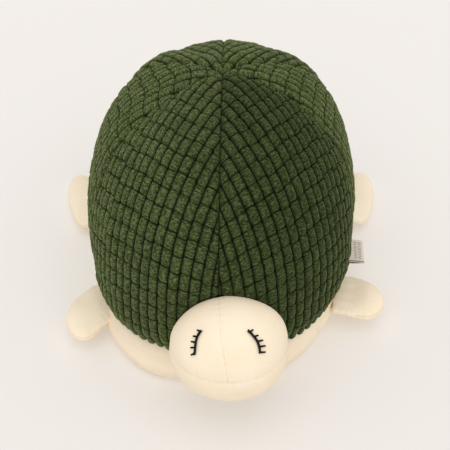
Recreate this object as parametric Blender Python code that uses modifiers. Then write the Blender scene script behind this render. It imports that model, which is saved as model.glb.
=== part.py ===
"""Plush turtle resting on its belly.

A six-gore quilted shell sits over a pale belly, with a round head sewn to the front, four stuffed
flippers and a folded woven label. Metres, +Z up, nose towards -Y. The origin is on the floor, right
under the crown of the shell.
"""

import math

import bmesh
import bpy
from mathutils import Vector

# Fabric and sewing
FABRIC_THICKNESS = 0.002
SEAM_GAP = 0.0003
STUFFING_GAP = 0.0004
SEAT_GAP = 0.0003
CUT_OVERRUN = 0.004

# Body: the widest outline seen from above, and the heights of what is sewn to it
BODY_HALF_WIDTH = 0.100
BODY_FRONT_REACH = 0.141
BODY_BACK_REACH = 0.115
OUTLINE_POWER = 2.35
SHELL_TOP_HEIGHT = 0.173
SHELL_WIDEST_HEIGHT = 0.049
HEM_HEIGHT = 0.028
BASE_SEAM_HEIGHT = 0.004
HEM_REACH_SHARE = 0.95
DOME_REACH_POWER = 0.9
DOME_RISE_POWER = 0.75
TUCK_POWER = 1.5
# Each pair is a height as a share of the hem's, and a reach as a share of the widest outline
BELLY_PROFILE_SHARES = ((0.74, 0.965), (0.46, 0.975), (0.2, 0.955), (0.07, 0.925), (0.0, 0.885), (0.0, 0.8))

# Shell gores and the grid that they are cut from
SHELL_GORES = 6
FRONT_GORE_COLUMNS = 10
OTHER_GORE_COLUMNS = 7
COLUMN_CROWDING = 1.3
DOME_ROWS = 14
ROW_CROWDING = 0.85
TUCK_ROWS = 2
CURVE_SAMPLES = 200

# Head: a form turned about the nod axis, pressed into the front of the shell
HEAD_HALF_WIDTH = 0.0383
HEAD_RADIUS = 0.033
HEAD_FLOOR_CLEARANCE = 0.0265
HEAD_SINK = 0.017
POCKET_CLEARANCE = 0.0015
HEAD_SIDES = 18
HEAD_STEPS = 10
MOUTH_SEAM_RISE = 0.0055
FACE_SHIFT = -0.0014

# Closed eyes, embroidered in satin stitch
EYE_OFFSET = 0.0165
EYE_ELEVATION = math.radians(54)
LID_LENGTH = 0.0135
LID_BOW = 0.0022
LID_LEAN = math.radians(24)
LID_POINTS = 6
LASH_COUNT = 5
LASH_LENGTH = 0.0036
LASH_FAN = math.radians(16)
THREAD_RADIUS = 0.00065
THREAD_RESOLUTION = 1

# Flippers: stuffed fins with a sewn root on the belly wall; a forward shift moves the tip along the wall
FLIPPER_ROOT_HEIGHT = 0.0195
FLIPPER_ROOT_THICKNESS = 0.011
FLIPPER_THICKNESS = 0.018
FLIPPER_FLOOR_CLEARANCE = 0.0008
FLIPPER_RING_POINTS = 10
FRONT_FLIPPER_ROOT_WIDTH = 0.043
FRONT_LEFT_SET = 0.07
FRONT_LEFT_WIDTH = 0.037
FRONT_LEFT_REACH = 0.026
FRONT_LEFT_SHIFT = 0.002
FRONT_LEFT_DROOP = 0.1
FRONT_RIGHT_SET = 0.073
FRONT_RIGHT_WIDTH = 0.043
FRONT_RIGHT_REACH = 0.0285
FRONT_RIGHT_SHIFT = 0.0105
FRONT_RIGHT_DROOP = 0.5
REAR_FLIPPER_SET = -0.029
REAR_FLIPPER_REACH = 0.0405
REAR_FLIPPER_WIDTH = 0.062
REAR_FLIPPER_ROOT_WIDTH = 0.036
REAR_LEFT_SHIFT = -0.046
REAR_RIGHT_SHIFT = -0.05
REAR_FLIPPER_DROOP = 1
ROOT_ROUND_ANGLES = (math.radians(28), math.radians(60))
SECTION_POWER = 0.8
STATION_SHARES = (0.0, 0.14, 0.3, 0.46, 0.62, 0.77, 0.89, 0.96)
WIDENING_SHARE = 0.5
DROOP_SHARE = 0.5
TIP_START_SHARE = 0.42
TIP_THICKNESS_POWER = 0.8

# Folded woven label in the hem seam
LABEL_SET = 0.031
LABEL_WIDTH = 0.026
LABEL_REACH = 0.0125
LABEL_TAPE = 0.0005
LABEL_ROOT_GAP = 0.0002
LABEL_LOOP_HEIGHT = 0.0024
# Each pair is a distance out as a share of the reach, and a height as a share of the half loop
LABEL_FOLD_SHARES = ((0.3, 0.85), (0.9, 1.0), (0.975, 0.7), (1.0, 0.0))

# Colours, linear
MOSS_GREEN = (0.055, 0.085, 0.032, 1)
CREAM = (0.82, 0.72, 0.55, 1)
FIBRE_WHITE = (0.85, 0.85, 0.83, 1)
THREAD_BLACK = (0.012, 0.012, 0.012, 1)
TAPE_WHITE = (0.80, 0.77, 0.70, 1)

HEAD_CENTRE = Vector((0, HEAD_SINK - BODY_FRONT_REACH - HEAD_RADIUS, HEAD_FLOOR_CLEARANCE + HEAD_RADIUS))


def clear_scene():
    """Remove what the file opened with."""
    for old in list(bpy.data.objects):
        bpy.data.objects.remove(old)


def make_collection(name):
    """Add a collection to the scene."""
    collection = bpy.data.collections.new(name)
    bpy.context.scene.collection.children.link(collection)
    return collection


def make_material(name, colour, roughness):
    """A plain cloth or thread finish."""
    material = bpy.data.materials.new(name)
    material.use_nodes = True
    shader = material.node_tree.nodes["Principled BSDF"]
    shader.inputs["Base Color"].default_value = colour
    shader.inputs["Roughness"].default_value = roughness
    shader.inputs["Metallic"].default_value = 0
    return material


def smooth_step(share):
    """Ease from 0 to 1, flat at both ends."""
    share = min(max(share, 0), 1)
    return share * share * (3 - 2 * share)


def loft(name, rings):
    """Close a mesh through rings of equal count; a ring of one point is a pole."""
    form = bmesh.new()
    loops = [[form.verts.new(point) for point in ring] for ring in rings]
    count = max(len(loop) for loop in loops)
    for lower, upper in zip(loops, loops[1:]):
        for i in range(count):
            corners = [lower[i % len(lower)], lower[(i + 1) % len(lower)]]
            corners += [upper[(i + 1) % len(upper)], upper[i % len(upper)]]
            form.faces.new(dict.fromkeys(corners))
    for loop in (loops[0], loops[-1]):
        if len(loop) > 1:
            form.faces.new(loop)
    bmesh.ops.triangulate(form, faces=form.faces)
    bmesh.ops.recalc_face_normals(form, faces=form.faces)
    mesh = bpy.data.meshes.new(name)
    form.to_mesh(mesh)
    form.free()
    return mesh


def place(name, mesh, material, parent=None):
    """Add a sub-part of the turtle."""
    part = bpy.data.objects.new(name, mesh)
    mesh.materials.append(material)
    mesh.shade_smooth()
    PARTS.objects.link(part)
    part.parent = parent
    return part


def add_cutter(name, mesh, parent=None):
    """Add a cutting form, drawn as wires and left out of the turtle."""
    cutter = bpy.data.objects.new(name, mesh)
    cutter.hide_render = True
    cutter.display_type = "WIRE"
    CUTTERS.objects.link(cutter)
    cutter.parent = parent
    return cutter


def add_pivot(name, location):
    """Add an empty on a joint's axis for the pieces that turn there."""
    pivot = bpy.data.objects.new(name, None)
    pivot.location = location
    pivot.empty_display_size = FLIPPER_THICKNESS
    PARTS.objects.link(pivot)
    return pivot


def cut_panel(name, form, material, cutter, parent=None):
    """Cut one fabric panel out of the skin of a closed form."""
    panel = place(name, form.copy(), material, parent)
    skin = panel.modifiers.new("fabric", "SOLIDIFY")
    skin.thickness = FABRIC_THICKNESS
    skin.offset = -1
    cut = panel.modifiers.new("pattern piece", "BOOLEAN")
    cut.operation = "INTERSECT"
    cut.object = cutter
    return panel


def fill_form(name, form, parent=None):
    """Fill a closed form with stuffing, just inside its fabric."""
    filling = place(name, form.copy(), STUFFING, parent)
    shrink = filling.modifiers.new("inside the fabric", "DISPLACE")
    shrink.direction = "NORMAL"
    shrink.mid_level = 0
    shrink.strength = -(FABRIC_THICKNESS + STUFFING_GAP)
    return filling


def box_mesh(name, low, high):
    """A box between two corners."""
    form = bmesh.new()
    bmesh.ops.create_cube(form, size=1)
    bmesh.ops.scale(form, vec=high - low, verts=form.verts)
    bmesh.ops.translate(form, vec=(low + high) / 2, verts=form.verts)
    mesh = bpy.data.meshes.new(name)
    form.to_mesh(mesh)
    form.free()
    return mesh


def outline_reach(azimuth):
    """Distance from the crown's axis to the widest outline; azimuth 0 is the nose, positive towards +X."""
    ahead_reach = BODY_FRONT_REACH if math.cos(azimuth) > 0 else BODY_BACK_REACH
    across = abs(math.sin(azimuth)) / BODY_HALF_WIDTH
    ahead = abs(math.cos(azimuth)) / ahead_reach
    return (across**OUTLINE_POWER + ahead**OUTLINE_POWER) ** (-1 / OUTLINE_POWER)


def press_pocket(point):
    """Push a point of the body's front back to where the head presses into it."""
    across = (point.x - HEAD_CENTRE.x) / (HEAD_HALF_WIDTH + POCKET_CLEARANCE)
    up = (point.z - HEAD_CENTRE.z) / (HEAD_RADIUS + POCKET_CLEARANCE)
    room = 1 - across * across - up * up
    if room > 0 and point.y < 0:
        back = HEAD_CENTRE.y + (HEAD_RADIUS + POCKET_CLEARANCE) * math.sqrt(room)
        point.y = max(point.y, back)
    return point


def body_point(azimuth, height, reach_share):
    """A point of the body's surface."""
    reach = outline_reach(azimuth) * reach_share
    return press_pocket(Vector((reach * math.sin(azimuth), -reach * math.cos(azimuth), height)))


def dome_profile():
    """Heights and reach shares from the crown to the widest line, closer together near the bottom."""
    samples = []
    for i in range(CURVE_SAMPLES + 1):
        lift = math.pi / 2 * (1 - i / CURVE_SAMPLES)
        rise = (SHELL_TOP_HEIGHT - SHELL_WIDEST_HEIGHT) * math.sin(lift) ** DOME_RISE_POWER
        samples.append((SHELL_WIDEST_HEIGHT + rise, max(math.cos(lift), 0) ** DOME_REACH_POWER))
    lengths = [0]
    for (z0, r0), (z1, r1) in zip(samples, samples[1:]):
        lengths.append(lengths[-1] + math.hypot(z1 - z0, (r1 - r0) * BODY_HALF_WIDTH))
    rows = []
    for i in range(1, DOME_ROWS + 1):
        target = lengths[-1] * (i / DOME_ROWS) ** ROW_CROWDING
        nearest = min(range(len(lengths)), key=lambda k: abs(lengths[k] - target))
        rows.append(samples[nearest])
    return rows


def body_profile():
    """Every ring of the body below the crown as a height and a reach share."""
    rows = dome_profile()
    for i in range(1, TUCK_ROWS + 1):
        share = i / TUCK_ROWS
        height = SHELL_WIDEST_HEIGHT + (HEM_HEIGHT - SHELL_WIDEST_HEIGHT) * share
        rows.append((height, 1 - (1 - HEM_REACH_SHARE) * share**TUCK_POWER))
    for height_share, reach_share in BELLY_PROFILE_SHARES:
        rows.append((HEM_HEIGHT * height_share, reach_share))
    return rows


def column_azimuths():
    """Angles round the crown, closer together behind the head."""
    gore_angle = 2 * math.pi / SHELL_GORES
    right = [gore_angle * (i / FRONT_GORE_COLUMNS) ** COLUMN_CROWDING for i in range(FRONT_GORE_COLUMNS)]
    others = (SHELL_GORES - 2) * OTHER_GORE_COLUMNS
    middle = [gore_angle + (2 * math.pi - 2 * gore_angle) * i / others for i in range(others + 1)]
    left = [2 * math.pi - angle for angle in right[:0:-1]]
    return right + middle + left


def build_body_form():
    """The whole body as one closed surface, from the crown to the flat underside."""
    azimuths = column_azimuths()
    rings = [[Vector((0, 0, SHELL_TOP_HEIGHT))]]
    for height, reach_share in body_profile():
        rings.append([body_point(azimuth, height, reach_share) for azimuth in azimuths])
    return loft("body form", rings)


def gore_cutter(index):
    """A wedge round the crown's axis that leaves half a seam gap on each side."""
    gore_angle = 2 * math.pi / SHELL_GORES
    start = gore_angle * index
    middle = start + gore_angle / 2
    inset = SEAM_GAP / 2 / math.sin(gore_angle / 2)
    far = 2 * max(BODY_FRONT_REACH, BODY_BACK_REACH, BODY_HALF_WIDTH)
    tip = Vector((math.sin(middle), -math.cos(middle), 0)) * inset
    corners = [tip]
    for angle in (start, middle, start + gore_angle):
        corners.append(tip + Vector((math.sin(angle), -math.cos(angle), 0)) * far)
    low = Vector((0, 0, HEM_HEIGHT + SEAM_GAP / 2))
    high = Vector((0, 0, SHELL_TOP_HEIGHT + CUT_OVERRUN))
    return loft("gore wedge", [[corner + low for corner in corners], [corner + high for corner in corners]])


def slab_cutter(low, high):
    """Everything under the shell between two heights."""
    reach = max(BODY_FRONT_REACH, BODY_BACK_REACH, BODY_HALF_WIDTH) + CUT_OVERRUN
    return box_mesh("slab", Vector((-reach, -reach, low)), Vector((reach, reach, high)))


def build_body():
    """Six gores, a side band, an underside and the filling that they share."""
    form = build_body_form()
    names = ("front_left", "side_left", "back_left", "back_right", "side_right", "front_right")
    for i, name in enumerate(names):
        cutter = add_cutter("cut_gore_" + name, gore_cutter(i))
        cut_panel("shell_gore_" + name, form, QUILTED_PILE, cutter)
    band = slab_cutter(BASE_SEAM_HEIGHT + SEAM_GAP / 2, HEM_HEIGHT - SEAM_GAP / 2)
    cut_panel("belly_side_band", form, CREAM_PILE, add_cutter("cut_belly_side_band", band))
    base = slab_cutter(-CUT_OVERRUN, BASE_SEAM_HEIGHT - SEAM_GAP / 2)
    cut_panel("belly_base", form, CREAM_PILE, add_cutter("cut_belly_base", base))
    fill_form("body_stuffing", form)


def head_point(across, elevation, lift):
    """A point on the head's surface or lifted off it; elevation turns up from the front."""
    half_width = HEAD_HALF_WIDTH + lift
    radius = (HEAD_RADIUS + lift) * math.sqrt(max(1 - (across / half_width) ** 2, 0))
    return Vector((across, -radius * math.cos(elevation), radius * math.sin(elevation)))


def build_head_form():
    """The head as a closed form about its own centre, round about the nod axis."""
    rings = [[Vector((-HEAD_HALF_WIDTH, 0, 0))]]
    for i in range(1, HEAD_STEPS):
        across = -HEAD_HALF_WIDTH * math.cos(math.pi * i / HEAD_STEPS)
        turns = [2 * math.pi * k / HEAD_SIDES for k in range(HEAD_SIDES)]
        rings.append([head_point(across, turn, 0) for turn in turns])
    rings.append([Vector((HEAD_HALF_WIDTH, 0, 0))])
    return loft("head form", rings)


def thread_tube(name, points):
    """A short run of embroidery as a closed tube."""
    curve = bpy.data.curves.new(name, "CURVE")
    curve.dimensions = "3D"
    curve.bevel_depth = THREAD_RADIUS
    curve.bevel_resolution = THREAD_RESOLUTION
    curve.use_fill_caps = True
    spline = curve.splines.new("POLY")
    spline.points.add(len(points) - 1)
    for spline_point, point in zip(spline.points, points):
        spline_point.co = (*point, 1)
    run = bpy.data.objects.new(name, curve)
    CUTTERS.objects.link(run)
    mesh = bpy.data.meshes.new_from_object(run.evaluated_get(bpy.context.evaluated_depsgraph_get()))
    bpy.data.objects.remove(run)
    form = bmesh.new()
    form.from_mesh(mesh)
    bmesh.ops.remove_doubles(form, verts=form.verts, dist=THREAD_RADIUS / 10)
    bmesh.ops.recalc_face_normals(form, faces=form.faces)
    form.to_mesh(mesh)
    form.free()
    return mesh


def eye_point(side, out, up):
    """A point of an eye, from its own centre; out is away from the nose line, up is along the head."""
    lift = SEAT_GAP + THREAD_RADIUS
    elevation = EYE_ELEVATION + up / HEAD_RADIUS
    return head_point(FACE_SHIFT + side * (EYE_OFFSET + out), elevation, lift)


def lid_place(share):
    """Where a share of the lid lies in the eye's own plane, and which way it faces outwards."""
    run = (share - 0.5) * LID_LENGTH
    bow = LID_BOW * (1 - (2 * share - 1) ** 2)
    out = run * math.sin(LID_LEAN) + bow * math.cos(LID_LEAN)
    up = -run * math.cos(LID_LEAN) + bow * math.sin(LID_LEAN)
    return out, up, LID_LEAN + LASH_FAN * (1 - 2 * share)


def build_eye(name, side, pivot):
    """One closed eye: a curved lid with lashes that fan outwards, sewn as one motif."""
    lid_points = []
    for i in range(LID_POINTS):
        out, up, _ = lid_place(i / (LID_POINTS - 1))
        lid_points.append(eye_point(side, out, up))
    eye = place(name, thread_tube(name, lid_points), EYE_THREAD, pivot)
    for i in range(LASH_COUNT):
        out, up, facing = lid_place((i + 0.5) / LASH_COUNT)
        tip_out = out + LASH_LENGTH * math.cos(facing)
        tip_up = up + LASH_LENGTH * math.sin(facing)
        points = [eye_point(side, out, up), eye_point(side, tip_out, tip_up)]
        lash_name = "{}_lash_{}".format(name, i + 1)
        lash = add_cutter(lash_name, thread_tube(lash_name, points), pivot)
        join = eye.modifiers.new(lash_name, "BOOLEAN")
        join.operation = "UNION"
        join.object = lash


def build_head():
    """Two crown panels, a chin panel, the filling and the eyes, all on the nod axis."""
    pivot = add_pivot("pivot_head", HEAD_CENTRE)
    form = build_head_form()
    reach = HEAD_HALF_WIDTH + CUT_OVERRUN
    mouth_top = MOUTH_SEAM_RISE + SEAM_GAP / 2
    near_left = Vector((FACE_SHIFT + SEAM_GAP / 2, -reach, mouth_top))
    left = box_mesh("left half", near_left, Vector((reach,) * 3))
    right_edge = FACE_SHIFT - SEAM_GAP / 2
    right = box_mesh("right half", Vector((-reach, -reach, mouth_top)), Vector((right_edge, reach, reach)))
    chin_top = MOUTH_SEAM_RISE - SEAM_GAP / 2
    chin = box_mesh("under half", Vector((-reach,) * 3), Vector((reach, reach, chin_top)))
    for name, cutter in (("head_crown_left", left), ("head_crown_right", right), ("head_chin", chin)):
        cut_panel(name, form, CREAM_PILE, add_cutter("cut_" + name, cutter, pivot), pivot)
    fill_form("head_stuffing", form, pivot)
    build_eye("eye_left", 1, pivot)
    build_eye("eye_right", -1, pivot)


def wall_seat(side, ahead, height):
    """A point of the body's wall at a distance ahead of the crown, and its outward and forward ways."""
    profile = sorted(body_profile())
    below = max(row for row in profile if row[0] <= height)
    above = min(row for row in profile if row[0] > height)
    reach_share = below[1] + (above[1] - below[1]) * (height - below[0]) / (above[0] - below[0])
    long_reach = (BODY_FRONT_REACH if ahead > 0 else BODY_BACK_REACH) * reach_share
    wide_reach = BODY_HALF_WIDTH * reach_share
    across = wide_reach * (1 - abs(ahead / long_reach) ** OUTLINE_POWER) ** (1 / OUTLINE_POWER)
    slope_out = (across / wide_reach) ** (OUTLINE_POWER - 1) / wide_reach
    slope_ahead = math.copysign(abs(ahead / long_reach) ** (OUTLINE_POWER - 1) / long_reach, ahead)
    outward = Vector((side * slope_out, -slope_ahead, 0)).normalized()
    forward = Vector((outward.y * side, -outward.x * side, 0))
    return Vector((side * across, -ahead, height)), outward, forward


def flipper_centre(flipper, out):
    """A point of a flipper's middle line, from its hinge."""
    share = out / flipper["reach"]
    drop = FLIPPER_ROOT_HEIGHT - FLIPPER_THICKNESS / 2 - FLIPPER_FLOOR_CLEARANCE
    down = drop * flipper["droop"] * smooth_step(share / DROOP_SHARE)
    return flipper["outward"] * out + flipper["forward"] * flipper["shift"] * share - Vector((0, 0, down))


def flipper_section(flipper, share):
    """Half width and half thickness of a flipper at a share of its reach."""
    grown = smooth_step(share / WIDENING_SHARE)
    tip = max(share - TIP_START_SHARE, 0) / (1 - TIP_START_SHARE)
    rounding = math.sqrt(1 - tip * tip)
    width = flipper["root_width"] + (flipper["width"] - flipper["root_width"]) * grown
    thickness = FLIPPER_ROOT_THICKNESS + (FLIPPER_THICKNESS - FLIPPER_ROOT_THICKNESS) * grown
    return width / 2 * rounding, thickness / 2 * rounding**TIP_THICKNESS_POWER


def section_point(across, half_width, half_thickness, turn):
    """A point of a flipper's pillow-shaped section, from its middle."""
    rise = math.copysign(abs(math.sin(turn)) ** SECTION_POWER, math.sin(turn))
    return across * half_width * math.cos(turn) + Vector((0, 0, half_thickness * rise))


def build_flipper_form(flipper):
    """A stuffed fin: a rounded root edge, a swell and a round tip."""
    root_radius = FLIPPER_ROOT_THICKNESS / 2
    stations = []
    for angle in ROOT_ROUND_ANGLES:
        half_width = flipper["root_width"] / 2 - root_radius * (1 - math.sin(angle))
        stations.append((-root_radius * math.cos(angle), half_width, root_radius * math.sin(angle)))
    for share in STATION_SHARES:
        stations.append((flipper["reach"] * share, *flipper_section(flipper, share)))
    turns = [2 * math.pi * (k + 0.5) / FLIPPER_RING_POINTS for k in range(FLIPPER_RING_POINTS)]
    rings = []
    for out, half_width, half_thickness in stations:
        centre = flipper_centre(flipper, out)
        ring = [section_point(flipper["forward"], half_width, half_thickness, turn) for turn in turns]
        rings.append([centre + point for point in ring])
    rings.append([flipper_centre(flipper, flipper["reach"])])
    return loft("flipper form", rings)


def flipper_half_cutter(flipper, side):
    """Everything above or below a flipper's edge seam, less half a seam gap."""
    half_width = max(flipper["width"], flipper["root_width"]) / 2 + CUT_OVERRUN
    near = Vector((0, 0, side * SEAM_GAP / 2))
    far = Vector((0, 0, side * (FLIPPER_THICKNESS + CUT_OVERRUN)))
    stops = [-FLIPPER_ROOT_THICKNESS / 2 - CUT_OVERRUN]
    stops += [flipper["reach"] * share for share in STATION_SHARES]
    stops.append(flipper["reach"] + CUT_OVERRUN)
    rings = []
    for out in stops:
        centre = flipper_centre(flipper, out)
        ahead, behind = centre + flipper["forward"] * half_width, centre - flipper["forward"] * half_width
        rings.append([behind + near, ahead + near, ahead + far, behind + far])
    return loft("flipper half", rings)


def build_flipper(name, side, ahead, width, root_width, reach, shift, droop):
    """A flipper of two panels round its filling, hinged along its root seam."""
    seat, outward, forward = wall_seat(side, ahead, FLIPPER_ROOT_HEIGHT)
    pivot = add_pivot("pivot_" + name, seat + outward * (SEAT_GAP + FLIPPER_ROOT_THICKNESS / 2))
    flipper = {"outward": outward, "forward": forward, "reach": reach, "shift": shift}
    flipper.update({"width": width, "root_width": root_width, "droop": droop})
    form = build_flipper_form(flipper)
    for half, half_side in (("top", 1), ("under", -1)):
        panel_name = "{}_{}".format(name, half)
        cutter = add_cutter("cut_" + panel_name, flipper_half_cutter(flipper, half_side), pivot)
        cut_panel(panel_name, form, CREAM_PILE, cutter, pivot)
    fill_form(name + "_stuffing", form, pivot)


def build_flippers():
    """Four flippers, each with a reach from the wall, a shift along it and a droop towards the floor."""
    front_left = (FRONT_LEFT_SET, FRONT_LEFT_WIDTH, FRONT_FLIPPER_ROOT_WIDTH, FRONT_LEFT_REACH)
    front_right = (FRONT_RIGHT_SET, FRONT_RIGHT_WIDTH, FRONT_FLIPPER_ROOT_WIDTH, FRONT_RIGHT_REACH)
    rear = (REAR_FLIPPER_SET, REAR_FLIPPER_WIDTH, REAR_FLIPPER_ROOT_WIDTH, REAR_FLIPPER_REACH)
    build_flipper("flipper_front_left", 1, *front_left, FRONT_LEFT_SHIFT, FRONT_LEFT_DROOP)
    build_flipper("flipper_front_right", -1, *front_right, FRONT_RIGHT_SHIFT, FRONT_RIGHT_DROOP)
    build_flipper("flipper_rear_left", 1, *rear, REAR_LEFT_SHIFT, REAR_FLIPPER_DROOP)
    build_flipper("flipper_rear_right", -1, *rear, REAR_RIGHT_SHIFT, REAR_FLIPPER_DROOP)


def build_label():
    """A bare tape folded once, both ends caught in the hem seam."""
    seat, outward, forward = wall_seat(1, LABEL_SET, HEM_HEIGHT)
    root_half_height = LABEL_TAPE + LABEL_ROOT_GAP / 2
    pivot = add_pivot("pivot_label", seat + outward * (SEAT_GAP + root_half_height))
    half_loop = (LABEL_LOOP_HEIGHT - LABEL_TAPE) / 2
    reach = LABEL_REACH - LABEL_TAPE / 2
    upper = [(0, (LABEL_TAPE + LABEL_ROOT_GAP) / 2)]
    upper += [(reach * out_share, half_loop * up_share) for out_share, up_share in LABEL_FOLD_SHARES]
    line = upper + [(out, -up) for out, up in upper[-2::-1]]
    strip = bmesh.new()
    sides = []
    for across in (-LABEL_WIDTH / 2, LABEL_WIDTH / 2):
        points = [outward * out + forward * across + Vector((0, 0, up)) for out, up in line]
        sides.append([strip.verts.new(point) for point in points])
    for i in range(len(line) - 1):
        strip.faces.new((sides[0][i], sides[1][i], sides[1][i + 1], sides[0][i + 1]))
    mesh = bpy.data.meshes.new("side_label")
    strip.to_mesh(mesh)
    strip.free()
    label = place("side_label", mesh, WOVEN_TAPE, pivot)
    tape = label.modifiers.new("tape", "SOLIDIFY")
    tape.thickness = LABEL_TAPE
    tape.offset = 0


clear_scene()
PARTS = make_collection("plush_turtle")
CUTTERS = make_collection("cutters")
QUILTED_PILE = make_material("quilted green velboa", MOSS_GREEN, 0.95)
CREAM_PILE = make_material("cream velboa", CREAM, 0.9)
STUFFING = make_material("polyester fibre filling", FIBRE_WHITE, 1)
EYE_THREAD = make_material("black embroidery thread", THREAD_BLACK, 0.5)
WOVEN_TAPE = make_material("woven label tape", TAPE_WHITE, 0.7)
build_body()
build_head()
build_flippers()
build_label()
bpy.context.view_layer.update()
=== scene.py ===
"""Looks of the plush turtle: a quilted pile shell, velboa belly, head and flippers, stitched eyes."""

import math

import bmesh
import bpy
import numpy as np
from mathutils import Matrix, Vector


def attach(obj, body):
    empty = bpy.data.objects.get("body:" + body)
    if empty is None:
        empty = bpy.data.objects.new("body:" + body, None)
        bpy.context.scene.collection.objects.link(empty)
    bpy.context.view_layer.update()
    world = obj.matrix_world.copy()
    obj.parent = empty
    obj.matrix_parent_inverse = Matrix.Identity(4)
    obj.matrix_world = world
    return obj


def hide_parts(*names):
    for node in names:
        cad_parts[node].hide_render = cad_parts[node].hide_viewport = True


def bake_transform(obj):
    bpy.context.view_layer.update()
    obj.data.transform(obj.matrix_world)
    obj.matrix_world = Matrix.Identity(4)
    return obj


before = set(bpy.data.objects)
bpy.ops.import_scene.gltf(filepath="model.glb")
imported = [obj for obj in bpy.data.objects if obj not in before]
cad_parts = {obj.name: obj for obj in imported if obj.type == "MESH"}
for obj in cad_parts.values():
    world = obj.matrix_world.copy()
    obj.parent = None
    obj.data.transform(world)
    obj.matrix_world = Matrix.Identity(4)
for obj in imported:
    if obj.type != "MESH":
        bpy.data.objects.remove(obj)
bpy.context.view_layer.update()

MM = 0.001

# Body outline and shell profile, as the solids have them
BODY_HALF_WIDTH = 0.100
BODY_FRONT_REACH = 0.141
BODY_BACK_REACH = 0.115
OUTLINE_POWER = 2.35
SHELL_TOP = 0.173
SHELL_WIDEST = 0.049
HEM_HEIGHT = 0.028
HEM_SHARE = 0.95
BASE_SEAM_HEIGHT = 0.004
DOME_REACH_POWER = 0.9
DOME_RISE_POWER = 0.75
TUCK_POWER = 1.5
PROFILE_STEPS = 1600
TUCK_STEPS = 240
UNDER_HEM = 0.010
# The wall below the hem, which flippers and label are sewn to: shares of the hem's height and of the reach
WALL_PROFILE = ((0.2, 0.955), (0.46, 0.975), (0.74, 0.965), (1.0, HEM_SHARE))
# The filled body stands a little askew on its feet: its sideways shift for each metre back from the crown
BODY_SLEW = 0.042
# Where the filling leaves folds over the back: azimuth in degrees, depth and width; a negative depth stands up
BACK_FOLDS = ((-151, 0.0031, 0.010), (151, 0.0018, 0.011), (180, -0.0020, 0.010))
# How far from the crown and how high over the floor the folds begin, and the length over which each deepens
FOLD_START, FOLD_EASE = 0.012, 0.03
FOLD_FOOT, FOLD_FOOT_EASE = 0.08, 0.05
# The seam down the back is drawn in less than the others
BACK_SEAM = 3
BACK_SEAM_DEPTH = 0.3
# The belly's mesh round and down it
BAND_COLUMNS = 420
BASE_COLUMNS = 220
BELLY_STEPS = 6
# Where the belly's wall leaves the floor and over what height, its slack, how far below the hem its fullness
# fades out, how low its cloth may lie, and up to what height it counts as the flat underside
WALL_START = 0.0005
WALL_EASE = 0.003
BELLY_SLACK = 0.0002
FULLNESS_EASE = 0.014
BELLY_LOW = 0.0002
UNDERSIDE = 0.001
# Height and reach share of the belly, from just inside the hem to the flat underside
BELLY_PROFILE = (
    (0.032, 0.91), (0.030, 0.921), (0.0278, 0.939), (0.0250, 0.955), (0.0207, 0.965), (0.0129, 0.975),
    (0.0056, 0.955), (0.002, 0.925), (0.0006, 0.885), (0.0004, 0.8), (0.0004, 0.5), (0.0004, 0.2),
    (0.0004, 0.0),
)

# Head, a form turned about its nod axis
HEAD_HALF_WIDTH = 0.0383
HEAD_RADIUS = 0.033
HEAD_CENTRE = np.array([0.0, -0.157, 0.0595])
HEAD_POCKET_ROOM = 0.0009
MOUTH_RISE = 0.0040
FACE_SEAM_MOUTH = -0.0014
FACE_SEAM_TOP = -0.0056
# Degrees up from the front within which the face seam comes across
FACE_SEAM_RISE = 75
HEAD_SIDES = 40
HEAD_RINGS = 24
# How slack the head is sewn, how wide and how firmly its seams are held, how far its filling may swell it,
# how deep its seams may lie, and the padding behind its cloth
HEAD_SLACK = 0.0006
HEAD_HOLD_WIDTH = 0.0025
HEAD_HOLD = 0.85
HEAD_SWELL = 0.0013
HEAD_TUCK_LIMIT = 0.0011
HEAD_PADDING = 0.0004
# Where the head's filling stands fuller: the way out from its centre, the spread and the height
HEAD_FULLNESS = (
    ((0.1, 0.64, 0.76), 0.5, 0.0014), ((0.75, 0.42, 0.5), 0.45, 0.0026),
    ((-0.75, 0.42, 0.5), 0.45, 0.0013), ((0.62, -0.5, -0.6), 0.4, 0.0016),
)
# Where the head presses in: how far round its edge the shell gives way, over what share, and how deep
POCKET_EDGE = 0.05
POCKET_EASE = 0.12
POCKET_DEPTH = 0.0003
# Where the belly's filling stands out or falls in: azimuth in radians, spread and height
BELLY_FULLNESS = ((-0.5, 0.42, 0.0034), (-0.33, 0.2, 0.0020), (0.74, 0.26, -0.0028), (0.3, 0.2, 0.0024))

# Unevenness of cloth: how many waves add up, how far their pitches differ, and the sum that counts as 1
WAVES = 7
WAVE_SPREAD = (0.6, 1.5)
WAVE_SUM = 3.4
# How cloth draws in towards each seam: depths and widths in millimetres, added up
SHELL_TUCK = ((1.4, 1.5), (0.9, 7))
CROWN_TUCK = ((2.2, 13),)
BASE_TUCK = ((0.7, 1.2),)
MOUTH_TUCK = ((0.22, 1.3), (0.4, 4))
FACE_TUCK = ((0.1, 1.2), (0.24, 3.5))
FLIPPER_TUCK = ((0.5, 0.8), (0.3, 3))
# How the filling makes each cloth wander: heights in millimetres, wavelengths in metres, and seeds
SHELL_WAVES = ((0.6, 0.07, 3), (0.25, 0.025, 4))
BELLY_WAVES = ((0.5, 0.06, 6), (0.2, 0.02, 7))
HEAD_WAVES = ((0.3, 0.03, 23),)
FLIPPER_WAVES = ((0.35, 0.025, 33),)
# Gathers along seams: height in millimetres, pitch, how far they stray, over what wavelength, and a seed
BASE_GATHERS = (0.16, 0.0055, 2, 0.03, 8)
MOUTH_GATHERS = (0.11, 0.0052, 2.2, 0.02, 21)
FACE_GATHERS = (0.09, 0.006, 2, 0.02, 22)
FLIPPER_GATHERS = (0.16, 0.005, 2.2, 0.02, 31)
ROOT_GATHERS = (0.16, 0.009, 1.5, 0.03, 32)
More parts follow.
